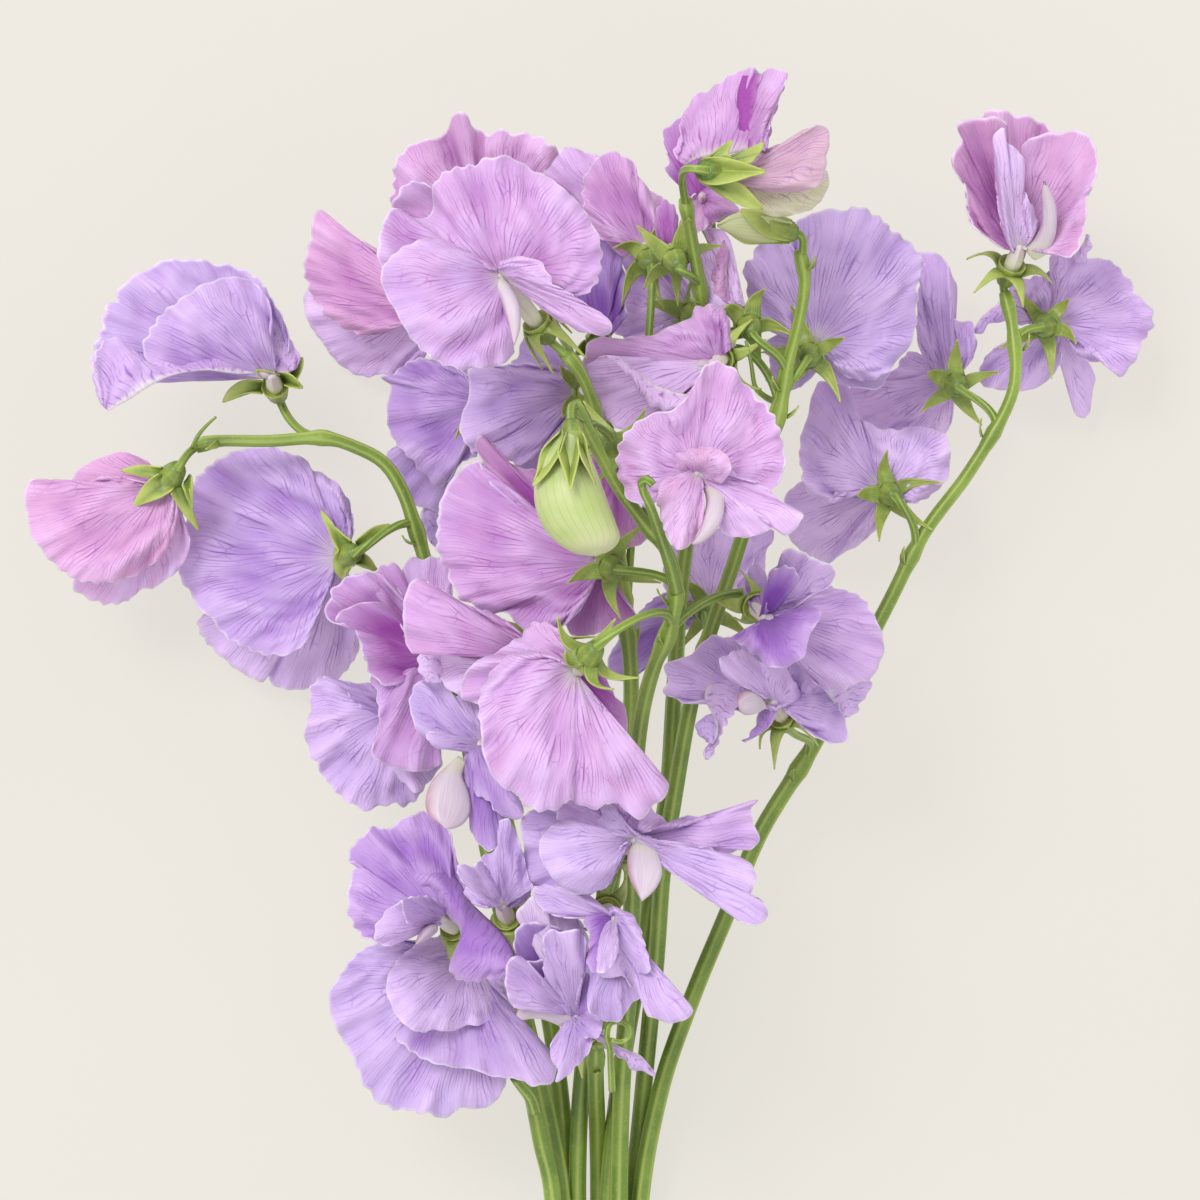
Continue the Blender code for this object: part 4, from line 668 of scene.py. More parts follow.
blooms["inner"] = [
    dict(calyx=(446, 660, 44), throat=(-16, -8, 8), node=(43, 40), rosy=0.6, petals=[
        ("standard", (-94, -64, 4), 0, dict(rosy=0, deep=0.3),
         "-30,-20 -41,-50 -46,-68 -58,-80 -68,-86 -81,-88 -94,-84 -105,-75 -113,-64 -120,-56 -121,-47 "
         "-116,-39 -106,-36 -94,-34 -86,-22 -82,-5 -76,12 -61,20"),
        ("wing", (-38, 108, 12), 0, dict(rosy=0, deep=0.35, bulge=3),
         "-29,10 -33,24 -36,40 -34,55 -29,68 -20,78 -10,87 -5,98 -9,107 -21,111 -36,111 -51,108 -64,103 "
         "-73,97 -74,88 -70,75 -67,62 -68,45 -70,30 -74,14 -51,-5"),
        ("wing", (-108, -20, 16), 0, dict(rosy=0, deep=0.8, bulge=2, ruffle=0.5),
         "-26,2 -28,13 -38,22 -51,26 -64,24 -72,18 -78,8 -83,-6 -86,-19 -92,-30 -102,-36 -111,-40 -106,-48 "
         "-94,-54 -80,-58 -66,-57 -54,-50 -46,-38 -40,-20 -30,-6"),
    ], more=[
        ("wing", (-61, -94, 0), 0, dict(rosy=0.1, ruffle=0.3, deep=0.8),
         "-36,-48 -48,-60 -62,-70 -74,-82 -70,-91 -62,-95 -54,-97 -47,-93 -44,-83 -36,-65 -28,-40"),
        ("wing", (-26, -100, -4), 0, dict(rosy=0, pale=0.15, ruffle=0.3),
         "-34,-40 -41,-70 -44,-86 -41,-98 -31,-102 -21,-101 -12,-103 0,-100 6,-85 6,-65 -1,-40"),
        ("wing", (-96, -84, 9), 0, dict(rosy=0, ruffle=0.5, deep=0.7),
         "-74,-50 -94,-53 -106,-59 -115,-64 -112,-73 -103,-80 -92,-85 -82,-87 -75,-83 -74,-70 -66,-56"),
    ]),
    dict(calyx=(412, 702, 34), throat=(-20, 10, 8), node=(80, 58), rosy=0.1, petals=[
        ("standard", (-62, 106, 4), 0, dict(rosy=0.3, pale=0.25, bulge=2.5, ruffle=1.1),
         "-24,-4 -40,-10 -57,-14 -72,-21 -87,-26 -94,-22 -101,-16 -102,-5 -101,6 -103,16 -107,25 -108,33 "
         "-104,43 -102,55 -95,60 -92,70 -82,83 -74,92 -64,100 -54,106 -42,108 -32,104 -20,102 -9,104 1,100 "
         "8,93 13,84 20,76 27,66 26,53 8,33"),
        ("wing", (-88, -22, 13), 0, dict(rosy=0.3, deep=0.25, ruffle=0.4),
         "-28,20 -40,12 -54,2 -66,-10 -77,-19 -89,-25 -80,-25 -67,-21 -54,-18 -42,-19 -34,-12 -26,2"),
        ("wing", (18, 78, 13), 0, dict(rosy=0.2, ruffle=0.9, pale=0.8),
         "-24,18 -28,43 -20,66 -9,80 4,90 15,82 23,72 30,62 24,46 3,24"),
    ]),
    dict(calyx=(496, 745, 60), throat=(-18, 0, 10), node=(4, 55), rosy=0.15, keel=(
        (-52, 83, 20),
        "-38,11 -47,19 -58,29 -66,39 -70,51 -70,63 -64,73 -54,81",
        "-30,17 -34,31 -29,44 -26,55 -26,68 -32,78 -41,83 -50,84"
    ), petals=[
        ("standard", (-86, -47, 6), 0, dict(rosy=0, pale=0.1, bulge=2, ruffle=0.6),
         "-14,-9 -16,-25 -17,-41 -26,-46 -34,-49 -39,-48 -46,-54 -51,-62 -59,-64 -69,-63 -78,-64 -83,-55 "
         "-87,-43 -85,-32 -82,-21 -77,-12 -68,-6 -61,2 -49,4 -41,5 -31,5 -22,7"),
        ("wing", (6, 105, 18), 0, dict(rosy=0.2, deep=0.8, ruffle=0.5),
         "-30,11 -35,27 -32,41 -32,55 -28,70 -25,85 -18,98 -8,106 1,103 4,93 2,80 9,72 6,61 0,51 -6,30 "
         "-12,11"),
        ("wing", (28, 51, 22), 0, dict(rosy=0.4, deep=0.4, ruffle=0.7),
         "-30,7 -34,20 -32,33 -24,45 -14,53 -6,56 -2,65 6,70 16,74 27,72 25,57 16,47 4,39 -4,27 -10,11"),
    ], more=[
        ("wing", (-56, 0, 14), 0, dict(rosy=0.1, pale=0.35, ruffle=0.4),
         "-21,-3 -34,-5 -46,-10 -58,-13 -71,-11 -66,-4 -59,3 -49,4 -36,6 -22,7"),
    ]),
    dict(calyx=(492, 404, 34), throat=(-12, 0, -7), node=(-3, 56), rosy=0.15, petals=[
        ("standard", (-106, 12, -11), 180, dict(rosy=0.6, deep=0.35, bulge=2),
         "-12,-12 -22,-26 -37,-38 -54,-42 -72,-46 -87,-40 -99,-30 -112,-27 -101,-19 -103,-8 -105,6 -104,21 "
         "-99,34 -90,46 -80,56 -72,66 -62,76 -51,83 -42,74 -34,62 -24,55 -16,53 -14,36 -14,20"),
        ("wing", (-78, 98, -21), 180, dict(rosy=0.1, deep=0.15),
         "-28,21 -52,36 -77,42 -92,42 -102,46 -106,56 -102,62 -94,66 -89,76 -91,86 -87,94 -77,101 -67,104 "
         "-55,105 -47,86 -37,61 -18,26"),
        ("wing", (-52, -34, -23), 180, dict(breadth=0.5)),
    ], more=[
        ("wing", (-62, 142, -26), 180, dict(rosy=0, pale=0.2, ruffle=0.3),
         "-46,88 -52,106 -54,121 -54,134 -56,144", "-56,86 -68,104 -71,112 -68,126 -62,138"),
    ]),
    dict(calyx=(550, 662, 86), throat=(-18, -7, -5), node=(-62, -22), rosy=0.9, sepals=140, petals=[
        ("standard", (-144, -42, -2), 180, dict(rosy=0.2, bulge=4, ruffle=0.7, deep=0.3),
         "-26,-26 -42,-40 -58,-49 -74,-54 -90,-60 -105,-70 -118,-77 -130,-84 -139,-79 -144,-70 -146,-60 "
         "-147,-47 -146,-32 -144,-20 -138,-9 -122,-11 -105,-9 -90,-5 -75,0 -60,-1 -45,-8 -30,-14"),
        ("wing", (-120, -12, -12), 180, dict(rosy=0.8, pale=1),
         "-35,-12 -60,-14 -85,-14 -102,-12 -112,-7 -110,6 -110,16 -103,26 -95,31 -88,34 -78,28 -65,18 -45,8 "
         "-25,0"),
        ("wing", (-98, 28, -13), 180, dict(rosy=0, pale=1, ruffle=0.3),
         "-128,-11 -132,-2 -130,10 -122,20", "-100,-12 -106,-2 -108,10 -109,20"),
    ]),
    dict(calyx=(448, 312, 34), throat=(-16, -6, -7), node=(22, 48), rosy=1, petals=[
        ("standard", (-152, -54, -10), 180, dict(bulge=3, ruffle=0.7, deep=0.25),
         "-23,-27 -48,-50 -70,-63 -88,-72 -103,-82 -117,-94 -127,-102 -134,-98 -136,-87 -137,-74 -140,-65 "
         "-143,-52 -144,-40 -140,-27 -136,-15 -126,-2 -113,10 -98,19 -86,23 -70,22 -58,18 -47,13 -28,8"),
        ("wing", (-118, 44, -34), 180, dict(pale=1, ruffle=0.9),
         "-68,-27 -118,-24 -140,-22 -144,-12 -143,0 -139,11 -132,22 -124,32 -117,43 -107,53 -95,61 -80,65 "
         "-68,62 -57,64 -46,58 -34,49 -23,44 -16,18"),
        ("wing", (-88, -32, -24), 180, dict(breadth=0.4)),
    ]),
]
blooms["low_left"] = [
    dict(calyx=(458, 930, 58), throat=(-18, -12, 10), node=(54, 40), rosy=0.5, keel=(
        (-42, 14, 20),
        "-28,-6 -34,-2 -39,5 -42,13", "-20,-4 -22,3 -30,9 -40,14"
    ), petals=[
        ("standard", (-84, -102, 0), 0, dict(rosy=0.8, bulge=1, ruffle=1.1, deep=0.55),
         "10,-38 4,-58 -3,-77 -7,-95 -13,-108 -23,-115 -34,-118 -48,-115 -60,-108 -70,-101 -78,-102 -86,-104 "
         "-93,-96 -100,-90 -106,-83 -110,-73 -108,-68 -102,-69 -104,-58 -110,-45 -109,-35 -111,-23 -108,-12 "
         "-103,-3 -96,6 -84,11 -74,15 -67,16 -60,12 -53,5 -42,0"),
        ("wing", (36, 46, 22), 0, dict(rosy=0.95, deep=0.6, bulge=5, ruffle=0.5),
         "-82,-88 -86,-72 -83,-57 -72,-47 -61,-40 -46,-37 -30,-37 -18,-28 -8,-12 1,-3 3,10 -6,27 -8,40 0,49 "
         "14,52 32,49 46,49 54,40",
         "-70,-101 -53,-92 -38,-80 -23,-68 -8,-58 4,-42 12,-28 24,-16 37,-4 47,8 54,20 56,30"),
        ("wing", (-92, 0, 22), 0, dict(rosy=0.6, pale=0.2, ruffle=0.5),
         "-26,-22 -46,-31 -61,-27 -74,-16 -83,-2 -82,10 -72,16 -64,15 -56,7 -51,-2 -40,-4 -24,-4"),
    ], more=[
        ("wing", (-53, -25, 24), 0, dict(rosy=0.6, deep=0.2, ruffle=0.2),
         "-12,-22 -28,-33 -46,-33 -56,-29 -54,-16 -49,-6 -33,-8 -18,-8"),
    ]),
    dict(calyx=(486, 960, 38), throat=(-20, 2, 10), node=(27, 50), rosy=0.15, petals=[
        ("standard", (-84, 154, 2), 0, dict(rosy=0.1, pale=0.05, bulge=2, ruffle=1.2),
         "-46,-15 -76,-20 -107,-18 -116,-14 -126,-9 -136,0 -142,10 -148,19 -155,28 -157,40 -155,55 -150,68 "
         "-143,80 -136,93 -130,106 -125,120 -118,130 -110,140 -99,147 -86,150 -76,150 -66,154 -56,153 "
         "-50,157 -41,158 -31,152 -23,147 -11,149 1,147 9,142 14,135 19,125 22,110 24,80 14,40"),
        ("wing", (-66, 66, 22), 0, dict(rosy=0.3, bulge=4, ruffle=0.8, pale=0.65),
         "-6,-15 -31,-25 -56,-22 -74,-12 -86,-2 -96,12 -100,28 -96,42 -90,55 -81,65 -71,71 -61,72 -51,69 "
         "-38,72 -28,68 -16,66 -3,64 9,68 19,70 28,72 33,68 29,55 26,40 21,25 12,10"),
        ("wing", (60, 114, 18), 0, dict(rosy=0.4, bulge=2, deep=0.2),
         "-46,30 -81,60 -92,74 -86,82 -74,92 -61,100 -46,105 -28,108 -11,110 4,116 19,118 34,120 47,126 "
         "59,125 69,118 71,105 64,92 57,84 44,77 32,70 14,40"),
    ], more=[
        ("wing", (28, 20, 22), 0, dict(rosy=0.6, ruffle=0.3, pale=1),
         "4,15 19,2 28,-4 36,2 42,15 46,25 38,35 30,48 24,35 18,22"),
    ]),
    dict(calyx=(510, 922, 72), throat=(-10, -18, 9), node=(2, 38), rosy=0.1, petals=[
        ("standard", (-30, -72, 7), 0, dict(rosy=0.3, bulge=2, ruffle=0.5),
         "-26,-14 -40,-21 -46,-34 -41,-40 -38,-52 -30,-62 -20,-69 -12,-77 -5,-87 1,-79 6,-65 13,-54 15,-42 "
         "21,-32 17,-23 6,-15"),
        ("wing", (22, -62, 17), 0, dict(rosy=0.2, deep=0.15, ruffle=0.4),
         "-2,-24 2,-44 -4,-62 -10,-76 -12,-88 -10,-100 -3,-104 5,-92 10,-77 15,-62 18,-47 24,-34"),
        ("wing", (-36, -17, 19), 0, dict(rosy=0, pale=0.6, ruffle=0.4),
         "-18,-24 -32,-30 -43,-36 -50,-44 -53,-54 -47,-58 -38,-55 -30,-61 -22,-54 -18,-42"),
    ]),
]
blooms["low"] = [
    dict(calyx=(622, 850, 78), throat=(12, -12, 12), node=(-12, 25), rosy=0.3, keel=(
        (20, 49, 22),
        "14,-10 7,-1 5,14 8,30 14,41 19,50", "28,-9 35,1 39,13 40,24 35,36 28,44 20,51"
    ), petals=[
        ("standard", (140, -38, 8), 0, dict(rosy=1, deep=0.15, bulge=2, ruffle=0.6),
         "0,-28 -12,-44 -4,-48 8,-40 19,-32 26,-41 33,-39 39,-32 50,-27 60,-32 68,-35 78,-32 85,-30 92,-36 "
         "100,-39 116,-38 123,-44 130,-49 136,-49,1 129,-42 129,-34 134,-24 136,-13 135,-4 128,0,1 120,-2,-1 "
         "116,-5 111,3 102,7 88,2 73,8 58,12 42,2"),
        ("wing", (-77, 6, 20), 0, dict(rosy=0.1, pale=0.35, bulge=5, ruffle=0.5),
         "20,-14 3,-28 -10,-44 -20,-44 -22,-32 -34,-19 -41,-27 -52,-30 -62,-28 -72,-22 -79,-14 -83,-4 -81,8 "
         "-75,20 -66,31 -54,39 -39,43 -28,42 -16,37 -10,24 -8,10 -3,-2 6,-8"),
        ("wing", (144, 58, 18), 0, dict(pale=0.2, bulge=2, ruffle=0.5),
         "30,2 40,10 50,19 62,24 70,33 79,43 89,51 100,56 109,64 116,70 124,74 134,75 143,71 146,63 143,54 "
         "136,48 128,45 132,37 134,27 131,17 123,10 115,6 104,8 96,4 87,-3 78,0 68,6 54,10 34,-12"),
    ], more=[
        ("wing", (-100, -20, 8), 0, dict(deep=0.15, bulge=2),
         "0,12 -17,-10 -37,-28 -57,-38 -77,-42 -92,-38 -101,-30 -100,-15 -98,0 -101,16 -95,32 -77,38 -60,40 "
         "-37,45 -12,35"),
        ("wing", (-47, -48, 14), 0, dict(rosy=0.8, ruffle=0.3),
         "-4,-12 -32,-16 -48,-26 -66,-32 -62,-44 -47,-52 -32,-50 -16,-46 -6,-34 6,-22"),
    ]),
    dict(calyx=(588, 1036, 60), throat=(-14, -22, 12), node=(7, 42), rosy=0.2, keel=(
        (-66, -24, 18),
        "-8,-34 -20,-38 -32,-44 -42,-50 -52,-51 -61,-44 -68,-32 -71,-22",
        "-4,-14 -14,-7 -26,-9 -38,-14 -48,-17 -58,-17 -66,-16 -71,-20"
    ), petals=[
        ("standard", (-42, -108, 8), 0, dict(rosy=0.3, deep=0.6),
         "-28,-31 -43,-51 -53,-71 -70,-78 -73,-91 -71,-106 -68,-114 -58,-115 -43,-111 -28,-116 -13,-118 "
         "-5,-111 -4,-96 0,-71 2,-46"),
        ("wing", (-22, 48, 20), 0, dict(rosy=0.35, pale=0.1, ruffle=0.5),
         "-16,-14 -26,-6 -33,1 -37,9 -38,19 -32,29 -30,39 -32,45 -22,41 -13,32 -5,24 2,14 4,4 0,-8"),
        ("wing", (32, -86, 16), 0, dict(rosy=0.4, deep=0.45, ruffle=0.4),
         "4,-2 -10,-14 -22,-26 -25,-41 -20,-56 -11,-68 -3,-74 4,-61 10,-41 14,-21 14,-4"),
    ], more=[
        ("wing", (-28, -106, 28), 0, dict(rosy=0.3, pale=0.2, bulge=2, ruffle=0.7),
         "-18,-22 -30,-34 -41,-44 -43,-56 -45,-71 -42,-81 -45,-91 -44,-101 -35,-107 -28,-104 -18,-106 "
         "-8,-106 -2,-96 -3,-81 -8,-66 -13,-51 -12,-31"),
        ("wing", (67, 38, 10), 0, dict(rosy=0.3, pale=0.2, ruffle=0.2),
         "4,0 14,7 24,16 34,22 44,32 57,37 67,39", "4,-10 16,0 27,9 42,16 52,20 60,29 67,38"),
        ("wing", (12, 0, 20), 0, dict(rosy=0.3, ruffle=0.3),
         "-10,-24 -18,-18 -12,-8 -4,1 6,2 13,-2 12,-16 4,-28"),
        ("wing", (-82, -56, 26), 0, dict(rosy=0.5, bulge=2, ruffle=0.4),
         "-28,-26 -40,-44 -48,-56 -55,-66 -61,-75 -68,-79 -77,-79 -81,-70 -83,-56 -81,-43 -76,-31 -69,-28 "
         "-62,-36 -55,-43 -43,-36"),
        ("wing", (-70, -122, 24), 0, dict(pale=1, green=0.15, bulge=2, ruffle=0.3),
         "-8,-76 -32,-100 -48,-108 -64,-111 -71,-118 -69,-128 -60,-136 -50,-143 -40,-136 -28,-128 -13,-120 "
         "2,-96"),
        ("wing", (-43, -91, 22), 0, dict(rosy=0.4, deep=1, bulge=-2, ruffle=0.2),
         "-13,-46 -36,-71 -48,-76 -64,-75 -72,-82 -74,-96 -70,-109 -58,-114 -43,-112 -28,-108 -18,-96 "
         "-3,-66"),
    ]),
    dict(calyx=(604, 908, 74), throat=(12, 12, 12), node=(0, 27), rosy=0.3, petals=[
        ("standard", (-32, 52, 8), 0, dict(rosy=0.2, deep=0.3),
         "-2,14 -12,37 -20,54 -14,72 -17,92 -12,107 1,112 14,114 22,104 29,94 37,88 32,67 26,32"),
        ("wing", (86, 104, 18), 0, dict(rosy=0.4, pale=0.2, bulge=3, ruffle=0.5),
         "10,27 12,47 17,64 26,77 36,89 42,97 42,105 48,110 58,113 71,115 82,111 89,105 86,97 78,91 66,85 "
         "56,77 46,67 42,52 36,27 24,10"),
        ("wing", (56, 22, 20), 0, dict(pale=0.4, bulge=3, ruffle=0.4),
         "0,10 2,2 14,0 26,6 33,14 38,27 42,40 46,57 44,66 31,64 18,67 6,70 -5,66 -7,50 -4,30"),
    ], more=[
        ("wing", (12, 44, 24), 0, dict(rosy=0, pale=0.9, bulge=2, ruffle=0.3),
         "2,16 -3,27 -6,42 -7,57 -6,65 1,64 8,57 13,47 14,41 10,30 8,20"),
        ("wing", (-18, 37, 16), 0, dict(rosy=0.9, deep=0.9, ruffle=0.2),
         "8,8 -6,6 -20,10 -16,22 -14,42 -17,56 -7,64 -4,42 2,22"),
        ("wing", (-69, -16, 14), 0, dict(pale=0.5, bulge=2, ruffle=0.5),
         "4,16 -4,-2 -16,-13 -32,-18 -48,-22 -62,-23 -70,-19 -69,-10 -64,-1 -56,5 -44,9 -30,10 -14,9"),
    ]),
]


# Living petal: a wet skin of tiny domed cells over a thin sheet that light passes through. It gives the eye
# a satin lilac or rose, deeper towards the claw (partly its own tone, partly painted shade) and in its folds
# (painted shade), with fine branching veins and a crisp pale rim.
petalFinish = {
    "lilac": {"cool": "#CFBAE7", "warm": "#E0BFEC", "deep": "#8A48BA", "vein": "#9258BA", "back": "#CFB4EC"},
    "rose": {"cool": "#D8B8E9", "warm": "#E9B9DE", "deep": "#9E38A4", "vein": "#A04CAA", "back": "#DAAADE"},
    "pale": "#EBD0F9", "rim": "#F8F0FF", "throat": "#F4F0EC", "green": "#E4E8BE",
    "backing": 0.35,  # how far the back takes its own colour
    "mottle": 7.0,  # mm between soft patches
    "mottling": 0.35,
    # deeper by the claw along the coarse folds: partly the petal's own tone, partly painted shade in the
    # bloom's hollow
    "gradient": 0.32,  # how much deeper the colour is by the claw
    # painted shade: the fine pleats from the claw are drawn as dark streaks in the colour
    "streaks": 0.12,  # how much the fine folds from the claw darken it
    "veins": 30,  # main veins over 90 mm of rim
    "veinDepth": 0.9,  # how dark the veins are
    "veinWidth": 0.07,
    "veinBend": 0.08,
    # the veins double in number twice: how many times as many, from where to where they grow, how strong
    "branches": ((1, 0.0, 0.1, 1.0), (2, 0.3, 0.55, 0.85), (4, 0.6, 0.8, 0.6)),
    "net": (34.0, 4.6, 1.0),  # the net's cells across and along
    "netWidth": 0.06, "netDepth": 0.45,
    "rimLine": (0.978, 0.996, 0.0, 0.65),  # where the pale rim starts and is full, and how pale it is at both
    "throatLine": (0.02, 0.2, 0.8, 0.0),  # where the cream of the throat fades and ends, and how strong it is
    "cells": 0.35,  # mm, the skin's cells, drawn coarser than the real 0.03 mm so that they show
    "relief": (-0.25, 0.7, 0.9, 0.05),  # how high veins, folds, patches and cells stand beside the streaks
    "bump": {"Strength": 0.5, "Distance": 0.0005},
    "skin": {"Roughness": 0.52, "IOR": 1.42, "Specular IOR Level": 0.25, "Sheen Weight": 0.1},
    "glow": 0.25,  # how much of the light that falls on it comes through
}


def veinLines(tree, spots, across, along):
    # The fan's own coordinate, bent by noise, is folded into lines that double in number outwards, over a net
    # of drawn-out cells. Both are broken up by patches of noise and fade towards the rim.
    look = petalFinish
    stretch, drawn = (addNode(tree, "Mapping", {"Vector": spots, "Scale": scale})
                      for scale in ((8.0, 2.0, 1.0), (15.0, 4.5, 1.0)))
    warp = addNode(tree, "TexNoise", {"Vector": stretch, "Scale": 1.0, "Detail": 1.0})
    bent = addNode(tree, "Math", {0: warp, 1: look["veinBend"], 2: across}, operation="MULTIPLY_ADD")
    wide = addNode(tree, "Math", {0: along, 1: 0.15}, operation="ADD")
    shifted = addNode(tree, "CombineXYZ", {0: bent, 1: along})
    netted = addNode(tree, "Mapping", {"Vector": shifted, "Scale": look["net"]})
    net = addNode(tree, "TexVoronoi", {"Vector": netted, "Scale": 1.0}, feature="DISTANCE_TO_EDGE",
                  voronoi_dimensions="2D")
    lines = addNode(tree, "MapRange", {0: net, 1: 0.0, 2: look["netWidth"], 3: look["netDepth"], 4: 0.0},
                    interpolation_type="SMOOTHSTEP")
    for times, first, last, strength in look["branches"]:
        phase = addNode(tree, "Math", {0: bent, 1: look["veins"] * times}, operation="MULTIPLY")
        fold = addNode(tree, "Math", {0: phase, 1: 0.5}, operation="PINGPONG")
        thin = addNode(tree, "Math", {0: look["veinWidth"] * times, 1: wide}, operation="DIVIDE")
        line = addNode(tree, "MapRange", {0: fold, 1: 0.0, 2: thin, 3: strength, 4: 0.0},
                       interpolation_type="SMOOTHSTEP")
        grown = addNode(tree, "MapRange", {0: along, 1: first, 2: last}, interpolation_type="SMOOTHSTEP")
        line = addNode(tree, "Math", {0: line, 1: grown}, operation="MULTIPLY")
        lines = addNode(tree, "Math", {0: lines, 1: line}, operation="MAXIMUM")
    broken = addNode(tree, "TexNoise", {"Vector": drawn, "Scale": 1.0, "Detail": 3.0})
    broken = addNode(tree, "MapRange", {0: broken, 1: 0.38, 2: 0.66, 3: 0.12, 4: 1.0})
    faded = addNode(tree, "MapRange", {0: along, 1: 0.8, 2: 0.98, 3: 1.0, 4: 0.3})
    for share in (broken, faded):
        lines = addNode(tree, "Math", {0: lines, 1: share}, operation="MULTIPLY")
    return lines


def makePetalFinish(name, shades):
    look = petalFinish
    material, tree, shader, spots, across, along, where = newFinish(name)
    tone, side = (addNode(tree, "Attribute", out=out, attribute_name="tone") for out in (0, 3))
    rosy, depth, green = (addNode(tree, "SeparateColor", {0: tone}, out=out) for out in (0, 1, 2))
    patches = addNode(tree, "TexNoise", {"Vector": where, "Scale": 1000 / look["mottle"], "Detail": 2.0})
    lines = veinLines(tree, spots, across, along)
    # noise drawn out along the petal: fine streaks and coarse folds
    streaks, folds = (
        addNode(tree, "TexNoise", {"Vector": addNode(tree, "Mapping", {"Vector": spots, "Scale": scale}),
                                   "Scale": 1.0, "Detail": 3.0, "Distortion": distortion})
        for scale, distortion in (((130.0, 2.0, 1.0), 0.0), ((13.0, 3.6, 1.0), 0.3)))
    # shares of the colours: what each follows, from where to where, and the share at both ends
    deep, pale, mottled, inner, streakShade, light, outer, rim = (
        addNode(tree, "MapRange", dict(enumerate(numbers))) for numbers in (
            (depth, 0.5, 1.0), (depth, 0.5, 0.0), (patches, 0.35, 0.7, 0.0, look["mottling"]),
            (along, 0.1, 0.9, look["gradient"], 0.0), (streaks, 0.5, 0.8, 0.0, look["streaks"]),
            (folds, 0.25, 0.5, 0.25, 0.0), (along, 0.55, 1.0, 0.9, 0.35), (along, *look["rimLine"])))
    inner = addNode(tree, "MapRange", {0: folds, 1: 0.3, 2: 0.75, 3: 0.0, 4: inner})
    cream = addNode(tree, "MapRange", dict(enumerate((along, *look["throatLine"]))),
                    interpolation_type="SMOOTHSTEP")
    cream = addNode(tree, "MapRange", {0: deep, 1: 0.0, 2: 0.5, 3: cream, 4: 0.0})
    backing, heavy, veined = (
        addNode(tree, "Math", {0: one, 1: other}, operation="MULTIPLY")
        for one, other in ((side, look["backing"]), (deep, outer), (lines, look["veinDepth"])))
    # colour: cool to warm by the bloom, with its own back, mottled, deeper towards the claw (its own tone and
    # painted shade), with painted shade in the fine streaks, paler on the coarse folds, pale or deep by the
    # petal's tone (partly painted light and shade), cream at the throat, green by its tone, veined and rimmed
    colour = addNode(tree, "Mix", {0: rosy, 6: hexColour(shades["cool"]), 7: hexColour(shades["warm"])},
                     out=2, data_type="RGBA")
    for share, over in (
            (backing, shades["back"]), (mottled, shades["warm"]), (inner, shades["deep"]),
            (streakShade, shades["vein"]), (light, look["pale"]), (pale, look["pale"]), (heavy, shades["deep"]),
            (cream, look["throat"]), (green, look["green"]), (veined, shades["vein"]), (rim, look["rim"])):
        colour = addNode(tree, "Mix", {0: share, 6: colour, 7: hexColour(over)}, out=2, data_type="RGBA")
    cells = addNode(tree, "TexVoronoi", {"Vector": where, "Scale": 1000 / look["cells"]})
    relief = streaks
    for part, height in zip((lines, folds, patches, cells), look["relief"]):
        relief = addNode(tree, "Math", {0: part, 1: height, 2: relief}, operation="MULTIPLY_ADD")
    bump = addNode(tree, "Bump", {**look["bump"], "Height": relief})
    setInputs(tree, shader, {"Base Color": colour, "Normal": bump, **look["skin"]})
    lit = addNode(tree, "BsdfTranslucent", {"Color": colour, "Normal": bump})
    both = addNode(tree, "MixShader", {0: look["glow"], 1: shader.outputs[0], 2: lit})
    tree.links.new(both, tree.nodes["Material Output"].inputs["Surface"])
    return material


# Keel and claw: the same living skin without pigment. It gives the eye a creamy white, flushed pink-brown
# along the keel's edge and tip, and green towards its foot.
keelFinish = {
    "body": "#CCC0C8", "flush": "#A06A80", "shade": "#B29CBC", "foot": "#D3DCA8",
    "shading": 0.6,
    "patches": 260.0,  # to a metre, so each is about 4 mm
    "bump": {"Strength": 0.25, "Distance": 0.0003},
    "skin": {"Roughness": 0.42},
}


def makeKeelFinish():
    look = keelFinish
    material, tree, shader, spots, across, along, where = newFinish("keelPetal")
    patches = addNode(tree, "TexNoise", {"Vector": where, "Scale": look["patches"], "Detail": 3.0})
    drawn = addNode(tree, "Mapping", {"Vector": spots, "Scale": (30.0, 2.0, 1.0)})
    streaks = addNode(tree, "TexNoise", {"Vector": drawn, "Scale": 1.0, "Detail": 2.0})
    edge, tip, shade, foot = (addNode(tree, "MapRange", dict(enumerate(numbers))) for numbers in (
        (across, 0.0, 0.22, 1.2, 0.0), (along, 0.6, 1.0, 0.0, 0.45),
        (streaks, 0.4, 0.75, 0.0, look["shading"]), (along, 0.0, 0.35, 0.7, 0.0)))
    edge = addNode(tree, "Math", {0: edge, 1: tip}, operation="ADD")
    edge = addNode(tree, "Math", {0: edge, 1: patches}, operation="MULTIPLY")
    colour = hexColour(look["body"])
    for share, over in ((shade, look["shade"]), (edge, look["flush"]), (foot, look["foot"])):
        colour = addNode(tree, "Mix", {0: share, 6: colour, 7: hexColour(over)}, out=2, data_type="RGBA")
    bump = addNode(tree, "Bump", {**look["bump"], "Height": streaks})
    setInputs(tree, shader, {"Base Color": colour, "Normal": bump, **look["skin"]})
    return material


# Bud: petals still packed and green. It gives the eye a pale yellow-green with fine darker veins that run
# from foot to tip, and a cream edge.
budFinish = {
    "body": "#A9B874", "pale": "#C6C59F", "vein": "#8FA558",
    "veins": 9, "veinBend": 0.08, "veinDepth": 0.4,
    "patches": 90.0,  # to a metre, so each is about 11 mm
    "bump": {"Strength": 0.12, "Distance": 0.0002},
    "skin": {"Roughness": 0.5, "Subsurface Weight": 0.15, "Subsurface Scale": 0.001},
}


